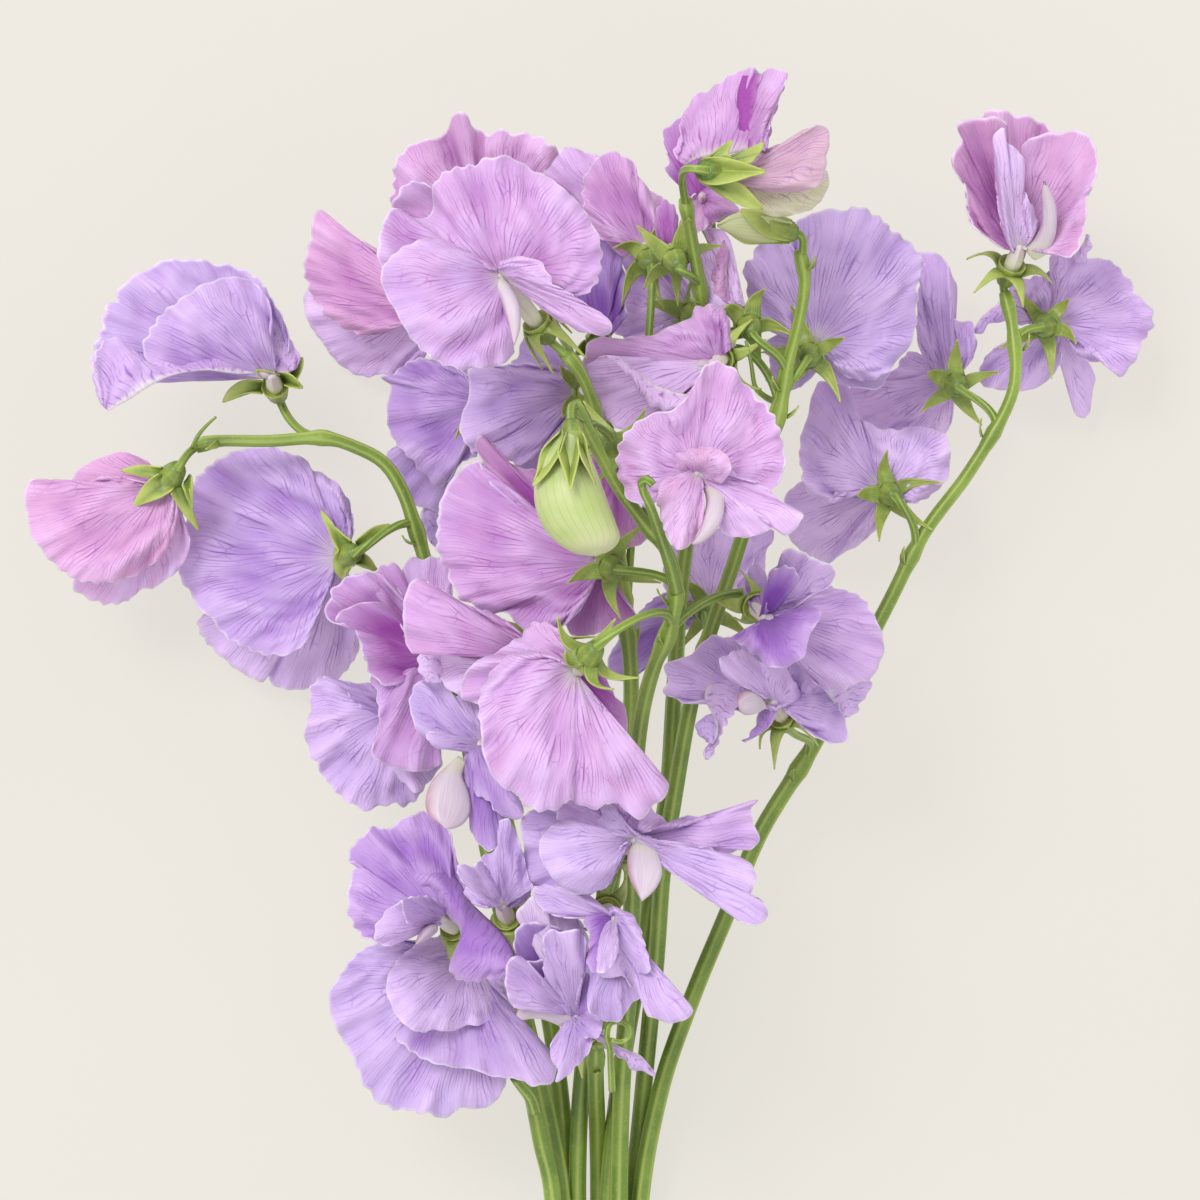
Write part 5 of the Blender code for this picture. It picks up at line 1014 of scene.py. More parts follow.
def makeBudFinish():
    look = budFinish
    material, tree, shader, _, across, along, where = newFinish("budPetal")
    patches = addNode(tree, "TexNoise", {"Vector": where, "Scale": look["patches"], "Detail": 3.0})
    bent = addNode(tree, "Math", {0: patches, 1: look["veinBend"], 2: across}, operation="MULTIPLY_ADD")
    phase = addNode(tree, "Math", {0: bent, 1: look["veins"]}, operation="MULTIPLY")
    fold = addNode(tree, "Math", {0: phase, 1: 0.5}, operation="PINGPONG")
    lines = addNode(tree, "MapRange", {0: fold, 1: 0.0, 2: 0.12, 3: look["veinDepth"], 4: 0.0},
                    interpolation_type="SMOOTHSTEP")
    pale = addNode(tree, "MapRange", {0: patches, 1: 0.35, 2: 0.7})
    tip = addNode(tree, "MapRange", {0: along, 1: 0.75, 2: 1.0, 3: 0.0, 4: 0.6})
    colour = hexColour(look["body"])
    for share, over in ((pale, look["pale"]), (lines, look["vein"]), (tip, look["pale"])):
        colour = addNode(tree, "Mix", {0: share, 6: colour, 7: hexColour(over)}, out=2, data_type="RGBA")
    bump = addNode(tree, "Bump", {**look["bump"], "Height": lines})
    setInputs(tree, shader, {"Base Color": colour, "Normal": bump, **look["skin"]})
    return material


# Green stem: a ribbed living skin with a thin wax bloom. It gives the eye mid green, painted paler along its
# ribs as painted highlight, slow changes from yellow-green to deep green, and a soft gloss.
greenFinish = {
    # rib: how far each rib is painted paler, as painted highlight along its crest
    "stem": {"body": "#7C9636", "dark": "#4A6820", "pale": "#B2BE66", "ribs": 5, "rib": 0.5, "patch": 12.0,
             "tip": 0.15, "foot": 0.0},
    "calyx": {"body": "#8A9C42", "dark": "#4C6428", "pale": "#BCC66C", "ribs": 7, "rib": 0.2, "patch": 3.5,
              "tip": 0.7, "foot": 0.8},
    "specks": 1400.0,  # to a metre, so each is about 0.7 mm
    "bump": {"Strength": 0.25, "Distance": 0.0002},
    "skin": {"Roughness": 0.42},
}


def makeGreenFinish(name, shades):
    look = greenFinish
    material, tree, shader, _, across, along, where = newFinish(name)
    patches, fine = (addNode(tree, "TexNoise", {"Vector": where, "Scale": scale, "Detail": detail})
                     for scale, detail in ((1000 / shades["patch"], 4.0), (look["specks"], 2.0)))
    # the ribs are painted paler in the colour: painted highlight along their crests
    phase = addNode(tree, "Math", {0: across, 1: shades["ribs"]}, operation="MULTIPLY")
    fold = addNode(tree, "Math", {0: phase, 1: 0.5}, operation="PINGPONG")
    ribs = addNode(tree, "MapRange", {0: fold, 1: 0.0, 2: 0.3, 3: shades["rib"], 4: 0.0},
                   interpolation_type="SMOOTHSTEP")
    dark, specks, tip, foot = (addNode(tree, "MapRange", dict(enumerate(numbers))) for numbers in (
        (patches, 0.35, 0.7, 0.75, 0.0), (fine, 0.55, 0.75, 0.0, 0.25), (along, 0.4, 1.0, 0.0, shades["tip"]),
        (along, 0.0, 0.35, shades["foot"], 0.0)))
    colour = hexColour(shades["body"])
    for share, over in ((dark, "dark"), (ribs, "pale"), (specks, "pale"), (tip, "pale"), (foot, "dark")):
        colour = addNode(tree, "Mix", {0: share, 6: colour, 7: hexColour(shades[over])},
                         out=2, data_type="RGBA")
    bump = addNode(tree, "Bump", {**look["bump"], "Height": ribs})
    setInputs(tree, shader, {"Base Color": colour, "Normal": bump, **look["skin"]})
    return material


finishes = {
    "lilac": makePetalFinish("lilacPetal", petalFinish["lilac"]),
    "rose": makePetalFinish("rosePetal", petalFinish["rose"]),
    "keel": makeKeelFinish(),
    "bud": makeBudFinish(),
    "stem": makeGreenFinish("ribbedStem", greenFinish["stem"]),
    "calyx": makeGreenFinish("calyxGreen", greenFinish["calyx"]),
}
print("finishes made")


# A petal. A hidden one is a fan: fan is half the angle that it opens over, in degrees, and breadth its width,
# where 1 is nearly twice as wide as long. drop and power round off its two sides, notch dents the middle of
# its edge, curl arches it from claw to tip, fold turns both sides forward about the midrib, and wrap cups
# them, in degrees. One that shows is traced, and bulge arches it. Every petal has waves, in mm high: ruffle,
# frill and crimp at its rim, pleat from its claw, crumple all over it, and creases as deep as crease.
petalShape = {
    "standard": {"fan": 125, "breadth": 1.0, "drop": 0.45, "power": 4, "notch": 0.07, "curl": -22, "fold": 5,
                 "wrap": -16, "bulge": 1.5, "ruffle": 1.5, "frill": 0.5, "pleat": 0.06, "crimp": 0.4,
                 "crumple": 0.8, "creases": 2, "crease": 0.7, "grid": (30, 142)},
    "wing": {"fan": 80, "breadth": 1.0, "drop": 0.6, "power": 3, "notch": 0.0, "curl": 16, "fold": 0,
             "wrap": -24, "bulge": 1.5, "ruffle": 1.2, "frill": 0.45, "pleat": 0.05, "crimp": 0.35,
             "crumple": 0.65, "creases": 1, "crease": 0.6, "grid": (24, 92)},
    "sepal": {"bulge": 0.9, "ruffle": 0.12, "frill": 0.0, "pleat": 0.0, "crimp": 0.0, "crumple": 0.15,
              "creases": 0, "crease": 0, "grid": (16, 36)},
    # how long those waves are along the rim, in mm, and how long the slow waves are that bend them
    "crimpLength": 3.6, "ruffleLength": 13, "rippleLength": 7.5, "frillLength": 4.3, "pleatLength": 2.9,
    "bendLengths": (23, 41, 29), "crumpleLengths": (23, 15, 10, 7),
    "crowded": 0.85,  # the power that crowds the grid's rows towards the rim
    "around": 90.0,  # the length of rim, in mm, that the whole width of the vein pattern covers
    "hiddenAround": 60.0,  # the same length for a hidden petal
    # painted shade: the petal's colour is deepened where its folds lie back from the eye
    "foldShade": 0.11,  # how much deeper a petal's colour is for each mm that its folds lie back
    "deepest": 24.0,  # how far a traced petal may reach above or below its claw
    "thick": 0.42,
    "rimThick": 0.24,
    "clear": 0.05,  # how far every petal stays off the table
    "clawHalfWidth": 1.3,
    "clawDepth": 1.6,  # how far inside the throat a petal starts
    "clawShifts": (-0.9, 0.4, 1.2, 0, 0, 0, 0, 0, 0),  # how far in front of the throat each starts
}


def petalSheet(u, v, size, waves):
    # A point goes v of the way to the fan's edge at the angle u x fan. The edge's length falls off to both
    # sides and has three small waves. Sideways the sheet bends into an arc, along its length into another,
    # and the waves of the rim, which grow with v, are added square to it.
    turn = u * math.radians(size["fan"])
    edge = size["length"] * (
        1 - size["drop"] * np.abs(u) ** size["power"] - size["notch"] * np.exp(-((u / 0.16) ** 2))
        + 0.03 * np.sin(5 * u + waves[1]) + 0.008 * np.sin(19 * u + waves[0])
        + 0.005 * np.sin(43 * u + waves[1]))
    reach = v * edge
    across = size["breadth"] * reach * np.sin(turn) + petalShape["clawHalfWidth"] * u * (1 - v)
    along = reach * np.cos(turn)
    wave = size["ruffle"] * v**2.2 * (np.sin(4.4 * u + waves[0]) + 0.7 * np.sin(9.3 * u + waves[1]))
    wave += size["frill"] * v**5 * (np.sin(17 * u + waves[1]) + 0.6 * np.sin(29 * u + waves[0]))
    wave += size["pleat"] * v * (1.3 - v) * np.sin(46 * u + 2 * np.sin(3 * u + waves[0]) + waves[1])
    bend = math.radians(size["wrap"]) / size["length"] + 1e-9
    tilt = math.radians(size["fold"])
    side = np.sin(bend * across) / bend
    ridge = np.sqrt(side**2 + 1) - 1
    out = (1 - np.cos(bend * across)) / bend * math.cos(tilt) + ridge * math.sin(tilt) + wave
    arch = math.radians(size["curl"]) / size["length"] + 1e-9
    angle = arch * along
    return np.stack([np.sin(angle) / arch - out * np.sin(angle), side * math.cos(tilt),
                     (1 - np.cos(angle)) / arch + out * np.cos(angle)], -1)


def bloomForward(bloom):
    # the way the bloom points, from its calyx to its throat
    return unit(fromCalyx(bloom, bloom["throat"]) - place(*bloom["calyx"]))


def petalFacing(ahead, turn):
    # the way a petal's face looks: at 0 degrees to the eye above, at 180 away from it
    eye = np.array([0.0, 0.0, 1.0])
    facing = unit(eye - (eye @ ahead) * ahead)
    return facing * math.cos(math.radians(turn)) + np.cross(ahead, facing) * math.sin(math.radians(turn))


def evenLine(points, count):
    # a smooth line through points of the picture, with count points at even steps along it
    dense = np.stack([through(values, np.linspace(0, 1, 400)) for values in points.T], -1)
    far = np.concatenate([[0], np.cumsum(np.linalg.norm(np.diff(dense[:, :2], axis=0), axis=1))])
    even = np.linspace(0, far[-1], count)
    return np.stack([np.interp(even, far, values) for values in dense.T], -1)


def onPlane(line, start, facing):
    # where the eye's rays through points of the picture meet the plane through start that looks at facing
    low, high = (place(line[:, 0], line[:, 1], 0 * line[:, 0] + height).T for height in (0, 100))
    step = (high - low) / 100
    height = ((start - low) @ facing) / (step @ facing)
    height = np.clip(height, max(1.0, start[2] - petalShape["deepest"]), start[2] + petalShape["deepest"])
    return low + step * height[:, None]


def tracedSheet(u, v, size, start, facing, waves, rim, base=None):
    # A petal whose rim follows the picture. A point goes v of the way on a straight line from the claw, or
    # from the base line where the petal has one, to the rim, which is crimped in its own plane. These move
    # it towards the eye: its bulge and the lift of its rim and base; ruffle, frill and pleat, sine waves
    # along the rim, bent by slower ones, that grow with v to the power 3.5, with v to the power 6, and to the
    # middle; crumple, four sine waves in four directions; and creases, each a narrow trough from the claw.
    columns = u.shape[1]
    rim = evenLine(rim, columns)
    outer = onPlane(rim, start, facing)
    around = np.linalg.norm(np.diff(outer, axis=0), axis=1).sum()
    if base is not None:
        base = evenLine(base, columns)
        inner, baseLift = onPlane(base, start, facing), base[:, 2]
    else:
        inner = start + unit(outer[-1] - outer[0]) * petalShape["clawHalfWidth"] * u[0][:, None]
        baseLift = np.zeros(columns)
    at = (u + 1) / 2 * around
    slow, slower, steady = petalShape["bendLengths"]
    crimp = swing(at[0], petalShape["crimpLength"], 2 * swing(at[0], slow, waves[0]))
    crimp = crimp * (0.6 + 0.4 * np.sin(at[0] / 7))
    outer = outer + unit(outer - inner) * (size["crimp"] * crimp)[:, None]
    sheet = inner + (outer - inner) * v[..., None]
    eye = np.array([*place(layout["pixels"] / 2, layout["pixels"] / 2, 0)[:2], layout["eye"]])
    wave = (swing(at, petalShape["ruffleLength"], 1.6 * swing(at, slower, waves[0]) + waves[1])
            + 0.5 * swing(at, petalShape["rippleLength"], waves[2] - 2 * v))
    ripple = size["ruffle"] * v**3.5 * wave
    ripple += size["frill"] * v**6 * swing(at, petalShape["frillLength"], 2 * swing(at, steady, waves[3]))
    fine = swing(at, petalShape["pleatLength"], 2 * np.sin(3 * u + waves[0]))
    ripple += size["pleat"] * v * (1.3 - v) * fine
    x = (at - around / 2) * (0.3 + 0.7 * v)
    y = v * np.linalg.norm(outer - inner, axis=1).mean()
    longest = petalShape["crumpleLengths"][0]
    for number, length in enumerate(petalShape["crumpleLengths"]):
        turned = waves[number]
        along = x * math.cos(turned) + y * math.sin(turned)
        beside = y * math.cos(turned) - x * math.sin(turned)
        bent = 1.4 * swing(beside, length * 1.6, waves[number + 1])
        ripple += (size["crumple"] * length / longest * np.minimum(1, 2.2 * v)
                   * swing(along, length, waves[number + 2] + bent))
    for number in range(size["creases"]):
        middle = 0.75 * math.sin(waves[4 + number]) + 0.1 * np.sin(4 * v + waves[number])
        away = (u - middle) * around / 2 / (0.6 + 1.3 * v)
        ripple -= size["crease"] * (v * (1.1 - v)) ** 0.8 * np.exp(-(away**2))
    wave = ripple + rim[:, 2] * v**1.6 + baseLift * (1 - v) ** 1.6
    wave += size["bulge"] * 4 * v * (1 - v) * (1 - 0.6 * u**2)
    return sheet + unit(eye - sheet) * wave[..., None], around, ripple


def petalPart(bloom, number, petal, waves, finish):
    # a petal from its claw, inside the throat, to the place of its tip
    kind, tip, turn, own, *lines = petal
    size = {**petalShape[kind], **own}
    start = place(*bloom["calyx"])
    if kind != "sepal":
        start = fromCalyx(bloom, bloom["throat"]) - bloomForward(bloom) * petalShape["clawDepth"]
        _, firstTip, firstTurn, *_ = bloom["petals"][0]
        forward = petalFacing(unit(fromCalyx(bloom, firstTip) - start), firstTurn)
        start = start + forward * petalShape["clawShifts"][number]
    chord = fromCalyx(bloom, tip) - start
    ahead = unit(chord)
    facing = petalFacing(ahead, turn)
    rows, columns = size["grid"]
    v, u = np.meshgrid(np.linspace(0, 1, rows) ** petalShape["crowded"], np.linspace(-1, 1, columns),
                       indexing="ij")
    if lines:
        lines = (tracedFrom(bloom, line) for line in lines)
        sheet, around, ripple = tracedSheet(u, v, size, start, facing, waves, *lines)
        upwards = np.sum(np.cross(sheet[-1, 1:] - sheet[-1, :-1], sheet[-1, 1:] - sheet[0, 1:])[:, 2])
        if (upwards > 0) == (turn > 90):
            sheet, u, ripple = sheet[:, ::-1], u[:, ::-1], ripple[:, ::-1]
    else:
        half = math.radians(size["curl"]) / 2
        size["length"] = np.linalg.norm(chord) * half / math.sin(half)
        axes = np.array([ahead * math.cos(half) - facing * math.sin(half), np.cross(ahead, facing),
                         facing * math.cos(half) + ahead * math.sin(half)])
        sheet = petalSheet(u, v, size, waves) @ axes + start
        around, ripple = petalShape["hiddenAround"], 0 * u
    sheet[..., 2] = np.maximum(sheet[..., 2], petalShape["thick"] / 2 + petalShape["clear"])
    thick = petalShape["thick"] + (petalShape["rimThick"] - petalShape["thick"]) * v**6
    # tone: how rosy, how deep (0 pale, 0.5 plain, 1 deep, partly painted shade and light, and painted shade
    # deeper in its folds) and how green
    depth = 0.5 + (size.get("deep", 0.0) - size.get("pale", 0.0)) / 2 - petalShape["foldShade"] * ripple
    depth = np.clip(depth, 0, 1)
    rosy, green = size.get("rosy", bloom["rosy"]), size.get("green", 0.0)
    tone = np.stack([rosy + 0 * depth, depth, green + 0 * depth], -1)
    uv = np.stack([(u + 1) / 2 * min(1, around / petalShape["around"]), v], -1)
    return shellPart(sheet, uv, thick, tone, finish)


# The keel, two petals joined into a boat, and the foot, the claws inside the calyx.
keelShape = {
    "depth": 3.2,
    "hidden": (1.3, 1.0),  # half the width and depth of one that hardly shows
    "length": 4.5,
    "foot": (1.5, 1.8, 1.7, 1.4, 0.9),  # the foot's radius from the calyx to the throat
    "footGrid": (10, 16),
    "grid": (30, 15),
}


def podPart(lines, start, end, depth, uvAcross, finish):
    # A closed swollen shape between two lines of the picture that meet at its tip. Across, its thickness is
    # a half circle's, and along it the sine of the share to the power 0.7.
    rows, columns = keelShape["grid"]
    normal = petalFacing(unit(end - start), 0)
    edge, back = (onPlane(evenLine(points, rows), start, normal) for points in lines)
    v, s = np.meshgrid((1 - np.cos(np.linspace(0, math.pi, columns))) / 2, np.linspace(0, 1, rows))
    sheet = edge[:, None] * (1 - v[..., None]) + back[:, None] * v[..., None]
    dome, swell = np.sqrt(np.clip(4 * v * (1 - v), 0, 1)), np.sin(math.pi * np.clip(s, 0.03, 0.97)) ** 0.7
    thick = depth * dome * swell + 0.12
    sheet[..., 2] = np.maximum(sheet[..., 2], thick / 2)
    uv = np.stack([uvAcross[0] + (uvAcross[1] - uvAcross[0]) * v, s], -1)
    return shellPart(sheet, uv, thick, (0, 0, 0), finish)


def hiddenKeel(start, end):
    # a small boat: its rings swell as the sine of the share to the power 0.6
    rows, sides = keelShape["grid"]
    share = np.linspace(0.02, 0.98, rows)[:, None]
    turns = np.arange(sides) * math.tau / sides
    size = np.sin(math.pi * share) ** 0.6
    wide, deep = keelShape["hidden"]
    line = start + (end - start) * share
    return turnedPart(line, size * wide * np.cos(turns), size * deep * np.sin(turns), 1)


def footPart(bloom):
    # a round neck from the calyx's mouth to the throat
    start = place(*bloom["calyx"]) + bloomForward(bloom) * (calyxShape["length"] / 2 - 1.5)
    rows, sides = keelShape["footGrid"]
    share = np.linspace(0, 1, rows)[:, None]
    turns = np.arange(sides) * math.tau / sides
    radius = through(keelShape["foot"], share) * (1 + 0.05 * np.cos(5 * turns))
    line = start + (fromCalyx(bloom, bloom["throat"]) - start) * share
    return turnedPart(line, radius * np.cos(turns), radius * np.sin(turns), 1, 0.3)


# A bud: its packed petals swell between two lines of the picture, with the standard's edge lying over them.
budShape = {
    "depth": 1.7,
    "lap": 0.45,  # how thick the second pod is beside the first
    "raised": 0.21,
    "sheet": {"bulge": 4.6},
    "seed": 3,
}


def budParts(bloom):
    # The body is a pod as thick as its depth times the bud's width. The standard's edge that laps over it is
    # a traced sheet, or a second pod in front of its near half.
    start, end = place(*bloom["calyx"]), fromCalyx(bloom, bloom["bud"])
    thick = budShape["depth"] * bloom["width"]
    lines = [tracedFrom(bloom, line) for line in bloom["edges"]]
    body = podPart(lines, start, end, thick, (0, 1), 0)
    if "lap" in bloom:
        waves = np.random.default_rng(budShape["seed"]).uniform(0, math.tau, 8)
        lap = ("sepal", bloom["bud"], 0, budShape["sheet"], *bloom["lap"])
        return [body, petalPart(bloom, 0, lap, waves, 0)]
    edge, back = (evenLine(line, 12) for line in lines)
    share = np.linspace(0, 1, 12)[:, None]
    middle = edge + (back - edge) * (0.5 + 0.3 * np.sin(math.pi * share) * (0.5 - share) - 0.1)
    raised = np.array([0.0, 0.0, thick * budShape["raised"]])
    lap = podPart([edge, middle], start + raised, end + raised, thick * budShape["lap"], (0.05, 0.5), 0)
    return [body, lap]


# The calyx: a ribbed cup with five pointed sepals, or with sepals traced where the picture shows them well.
calyxShape = {
    "length": 6.0,
    "profile": (1.1, 1.7, 2.15, 2.45, 2.75, 3.0, 2.7, 2.1),  # radius from foot to lip and back down inside
    "reach": (0.0, 0.08, 0.26, 0.5, 0.76, 1.0, 0.98, 0.8),  # share of the length at each of those
    "mouth": 2.5,  # how far from the middle the sepals start
    "sepal": 9.0,
    "sepalWidth": 3.5,
    "sepalThick": 0.45,
    "turns": {"bud": 20, "facing": 150, "away": 120},  # degrees between the sepals and the bloom's axis
    "sway": (-16, 16),  # degrees that each sepal leans from the others
    "reachShare": (0.82, 1.12),
    "cupGrid": (26, 30),
    "grid": (18, 9),
}


def sepalAngle(bloom):
    # small on a bud, far back behind an open bloom
    if "bud" in bloom:
        return bloom.get("sepals", calyxShape["turns"]["bud"])
    _, _, turn, *_ = bloom["petals"][0]
    return bloom.get("sepals", calyxShape["turns"]["facing" if turn < 90 else "away"])


def calyxParts(bloom, chance):
    # The cup is its profile turned about the bloom's axis, with ten low ribs. A sepal is a leaf along an arc
    # from the lip to its tip.
    forward = bloomForward(bloom)
    sideways = unit(np.cross([0.0, 0.0, 1.0], forward))
    axes = np.array([forward, sideways, np.cross(forward, sideways)])
    mouth = place(*bloom["calyx"]) + forward * calyxShape["length"] / 2
    rows, sides = calyxShape["cupGrid"]
    share = np.linspace(0, 1, rows)[:, None]
    turns = np.arange(sides) * math.tau / sides
    at = through(calyxShape["reach"], share) * calyxShape["length"] - calyxShape["length"]
    radius = through(calyxShape["profile"], share) * (1 + 0.012 * np.cos(10 * turns))
    rings = np.stack([at + 0 * turns, radius * np.cos(turns), radius * np.sin(turns)], -1) @ axes + mouth
    parts = [tubePart(rings, 1)]
    if "sepalRims" in bloom:
        waves = chance.uniform(0, math.tau, (len(bloom["sepalRims"]), 8))
        return parts + [petalPart(bloom, 0, ("sepal", tip, 0, {}, *lines), wave, 1)
                        for (tip, *lines), wave in zip(bloom["sepalRims"], waves)]
    for facing in np.arange(5) * math.tau / 5 + math.pi / 2 + math.pi / 5:
        angle = math.radians(sepalAngle(bloom) + chance.uniform(*calyxShape["sway"]))
        reach = calyxShape["sepal"] * chance.uniform(*calyxShape["reachShare"])
        facing = facing + chance.uniform(-0.22, 0.22)
        radial = np.array([0.0, math.cos(facing), math.sin(facing)])
        beside = np.array([0.0, -math.sin(facing), math.cos(facing)])
        ahead = np.array([1.0, 0.0, 0.0])
        root = radial * calyxShape["mouth"] - ahead * 1.8
        tip = root + reach * (math.sin(angle) * radial + math.cos(angle) * ahead)
        tip = tip + beside * chance.uniform(-2.2, 2.2)
        belly = root + ahead * 3.4 + radial * (1.0 + 2.4 * math.sin(angle))
        points = [at @ axes + mouth for at in (root, belly, tip)]
        width = calyxShape["sepalWidth"] * chance.uniform(0.85, 1.15)
        out = (radial + ahead) * 0.6 @ axes
        parts.append(leafPart(*points, beside @ axes, out, width, calyxShape["sepalThick"]))
    return parts


def leafPart(root, belly, tip, beside, out, width, thick):
    # A leaf along the arc from root to tip that belly pulls outwards. s of the way along, half its width is
    # (1 - 0.97 s)^0.9 x (1 + 0.2 sin(pi s)) of its width's half. It is hollow and creased along the middle.
    rows, columns = calyxShape["grid"]
    s, u = np.meshgrid(np.linspace(0, 1, rows), np.linspace(-1, 1, columns), indexing="ij")
    line = (1 - s)[..., None] ** 2 * root + 2 * (s * (1 - s))[..., None] * belly + s[..., None] ** 2 * tip
    half = width / 2 * (1 - s * 0.97) ** 0.9 * (1 + 0.2 * np.sin(math.pi * s))
    hollow = (-0.35 * u**2 - 0.15 * np.exp(-((u / 0.15) ** 2))) * half + 0.14 * np.sin(9 * s + 3 * u) * s
    sheet = line + (u * half)[..., None] * beside + hollow[..., None] * out
    uv = np.stack([(u + 1) / 2, 0.3 + 0.7 * s], -1)
    return shellPart(sheet, uv, thick * (1 - 0.5 * s), (0, 0, 0), 1)


# The stems and stalks: a ribbed rod that thins to its tip, thickened where a stalk leaves it.
stemShape = {
    "radius": 2.0,
    "stalkRadius": 0.85,
    "spacing": 2.0,
    "sides": 24,
    "ribs": 5,
    "stalkRibs": 4,
    "rib": 0.07,  # how much of the radius the ribs add
    "thinning": ((0, 0.55, 1), (1, 0.9, 0.575)),  # at those shares of the stem, that share of its radius
    "knuckle": 0.45,  # how much thicker it is where a stalk leaves it
    "bend": 12.0, "bendShare": 0.42, "sunk": 0.8,  # how a stalk leaves the stem and enters the calyx
    "patternLength": 320,  # the length in mm that the whole length of the pattern covers
}


def rodPart(line, radii, ribs, phase):
    # a round rod whose radius swells by rib at each of its ribs, and a little at three slowly turning ones
    turns = np.arange(stemShape["sides"]) * math.tau / stemShape["sides"]
    size = radii[:, None] * (1 + stemShape["rib"] * np.cos(ribs * turns + phase)
                             + 0.02 * np.sin(3 * turns + 0.15 * np.arange(len(line))[:, None]))
    length = np.linalg.norm(np.diff(line, axis=0), axis=1).sum()
    length = length / stemShape["patternLength"]
    return turnedPart(line, size * np.cos(turns), size * np.sin(turns), 0, length)


def stalkLine(line, bloom):
    # a cubic curve from the stem's nearest point, first along the stem, into the calyx's foot
    away = line - fromCalyx(bloom, (*bloom["node"], 0))
    nearest = int(np.argmin(np.linalg.norm(away[:, :2], axis=1)))
    nearest = min(max(nearest, 1), len(line) - 2)
    start, forward = line[nearest], bloomForward(bloom)
    end = place(*bloom["calyx"]) - forward * (calyxShape["length"] / 2 - stemShape["sunk"])
    reach = min(np.linalg.norm(end - start) * stemShape["bendShare"], stemShape["bend"])
    first = start + unit(line[nearest + 1] - line[nearest - 1]) * reach
    last = end - forward * reach
    t = np.linspace(0, 1, 30)[:, None]
    return (1 - t) ** 3 * start + 3 * (1 - t) ** 2 * t * first + 3 * (1 - t) * t**2 * last + t**3 * end


# Small growths: every rod is a line of places with its radius at the foot and at the tip, in mm. They are a
# hooked shoot that didn't bloom, a thin second stem, a spur, a cut branch's stub and a curled tendril.
growths = {
    "centre": ("676,590,95 670,565,101 662,541,109 655,520,115 649,503,119 643,490,121 642,482,122 "
               "647,479,123 653,485,123", 1.5, 0.8),
    "tall": ("775,402,60 764,396,66 755,386,70 751,363,74 746,341,76", 0.7, 0.35),
    "left": ("193,447,47 198,436,50 206,426,52 216,417,53", 0.6, 0.25),
    "low_left": ("534,1112,46 530,1098,48 521,1086,50 515,1078,52", 1.3, 1.1),
    "low": ("612,1090,66 611,1068,71 610,1048,75 607,1036,77 610,1024,78 620,1021,78 629,1027,78 629,1037,77 "
            "621,1042,77 611,1040,78", 0.75, 0.55),
}
bractShape = {"length": 3.2, "width": 1.7, "thick": 0.35}


def bractPart(line, stalk, chance):
    # the small pointed scale below a stalk's foot: it leans out of the stem and up along it
    nearest = int(np.argmin(np.linalg.norm(line - stalk[0], axis=1)))
    along = unit(line[min(nearest + 1, len(line) - 1)] - line[max(nearest - 1, 0)])
    out = stalk[6] - stalk[0]
    out = unit(out - (out @ along) * along + 1e-6)
    root = line[max(nearest - 1, 0)] + out * stemShape["radius"] * 0.8
    tip = root + along * bractShape["length"] * chance.uniform(0.7, 1.1) + out * bractShape["length"] * 0.7
    belly = (root + tip) / 2 + out * 0.8
    return leafPart(root, belly, tip, np.cross(out, along), along * 0.3 - out * 0.8, bractShape["width"],
                    bractShape["thick"])


def makeStem(stem, spots, blooms, seed):
    # the stem, and for each bloom its stalk, its bract and its calyx, then what else grows on it
    chance = np.random.default_rng(seed)
    spots = [place(*spot) for spot in traced(spots)]
    line = smoothLine(spots, stemShape["spacing"])
    fine = smoothLine(spots, 3.0)
    radii = stemShape["radius"] * np.interp(np.linspace(0, 1, len(line)), *stemShape["thinning"])
    stalks = [stalkLine(fine, bloom) for bloom in blooms]
    for stalk in stalks:
        away = np.linalg.norm(line - stalk[0], axis=1)
        radii = radii + stemShape["knuckle"] * np.exp(-((away / 2.2) ** 2))
    parts = [rodPart(line, radii, stemShape["ribs"], seed)]
    for stalk, bloom in zip(stalks, blooms):
        share = np.linspace(0, 1, len(stalk))  # thicker at its foot and below its calyx
        thick = 1 + 0.5 * np.exp(-share / 0.06) + 0.35 * np.exp((share - 1) / 0.08)
        thick = stemShape["stalkRadius"] * thick
        parts.append(rodPart(stalk, thick, stemShape["stalkRibs"], seed))
        parts.append(bractPart(line, stalk, chance))
        parts += calyxParts(bloom, chance)
    if stem in growths:
        spots, foot, tip = growths[stem]
        growth = smoothLine([place(*spot) for spot in traced(spots)], 0.8)
        parts.append(rodPart(growth, np.linspace(foot, tip, len(growth)), stemShape["stalkRibs"], seed))
    return makePiece(f"stem_{stem}_skin", parts, [finishes["stem"], finishes["calyx"]])


def makeBloom(name, bloom, seed):
    # the petals, with those that show less after the first three, the foot and the keel
    if "bud" in bloom:
        return makePiece(name, budParts(bloom), [finishes["bud"]])
    parts = []
    for key, first, draws, apart in (("petals", 0, 3, 0), ("more", 3, 6, 100)):
        waves = np.random.default_rng(seed + apart).uniform(0, math.tau, (draws, 8))
        parts += [petalPart(bloom, number, petal, wave, 0)
                  for number, (petal, wave) in enumerate(zip(bloom.get(key, ()), waves), first)]
    parts.append(footPart(bloom))
    forward = bloomForward(bloom)
    start = fromCalyx(bloom, bloom["throat"]) - forward * petalShape["clawDepth"]
    if "keel" in bloom:
        tip, *lines = bloom["keel"]
        lines = [tracedFrom(bloom, line) for line in lines]
        parts.append(podPart(lines, start, fromCalyx(bloom, tip), keelShape["depth"], (0, 1), 1))
    else:
        tips = np.mean([unit(fromCalyx(bloom, tip) - start) for _, tip, *_ in bloom["petals"]], axis=0)
        parts.append(hiddenKeel(start, start + unit(tips + forward * 0.5) * keelShape["length"]))
    rosy = bloom["rosy"] > 0.5
    return makePiece(name, parts, [finishes["rose" if rosy else "lilac"], finishes["keel"]])


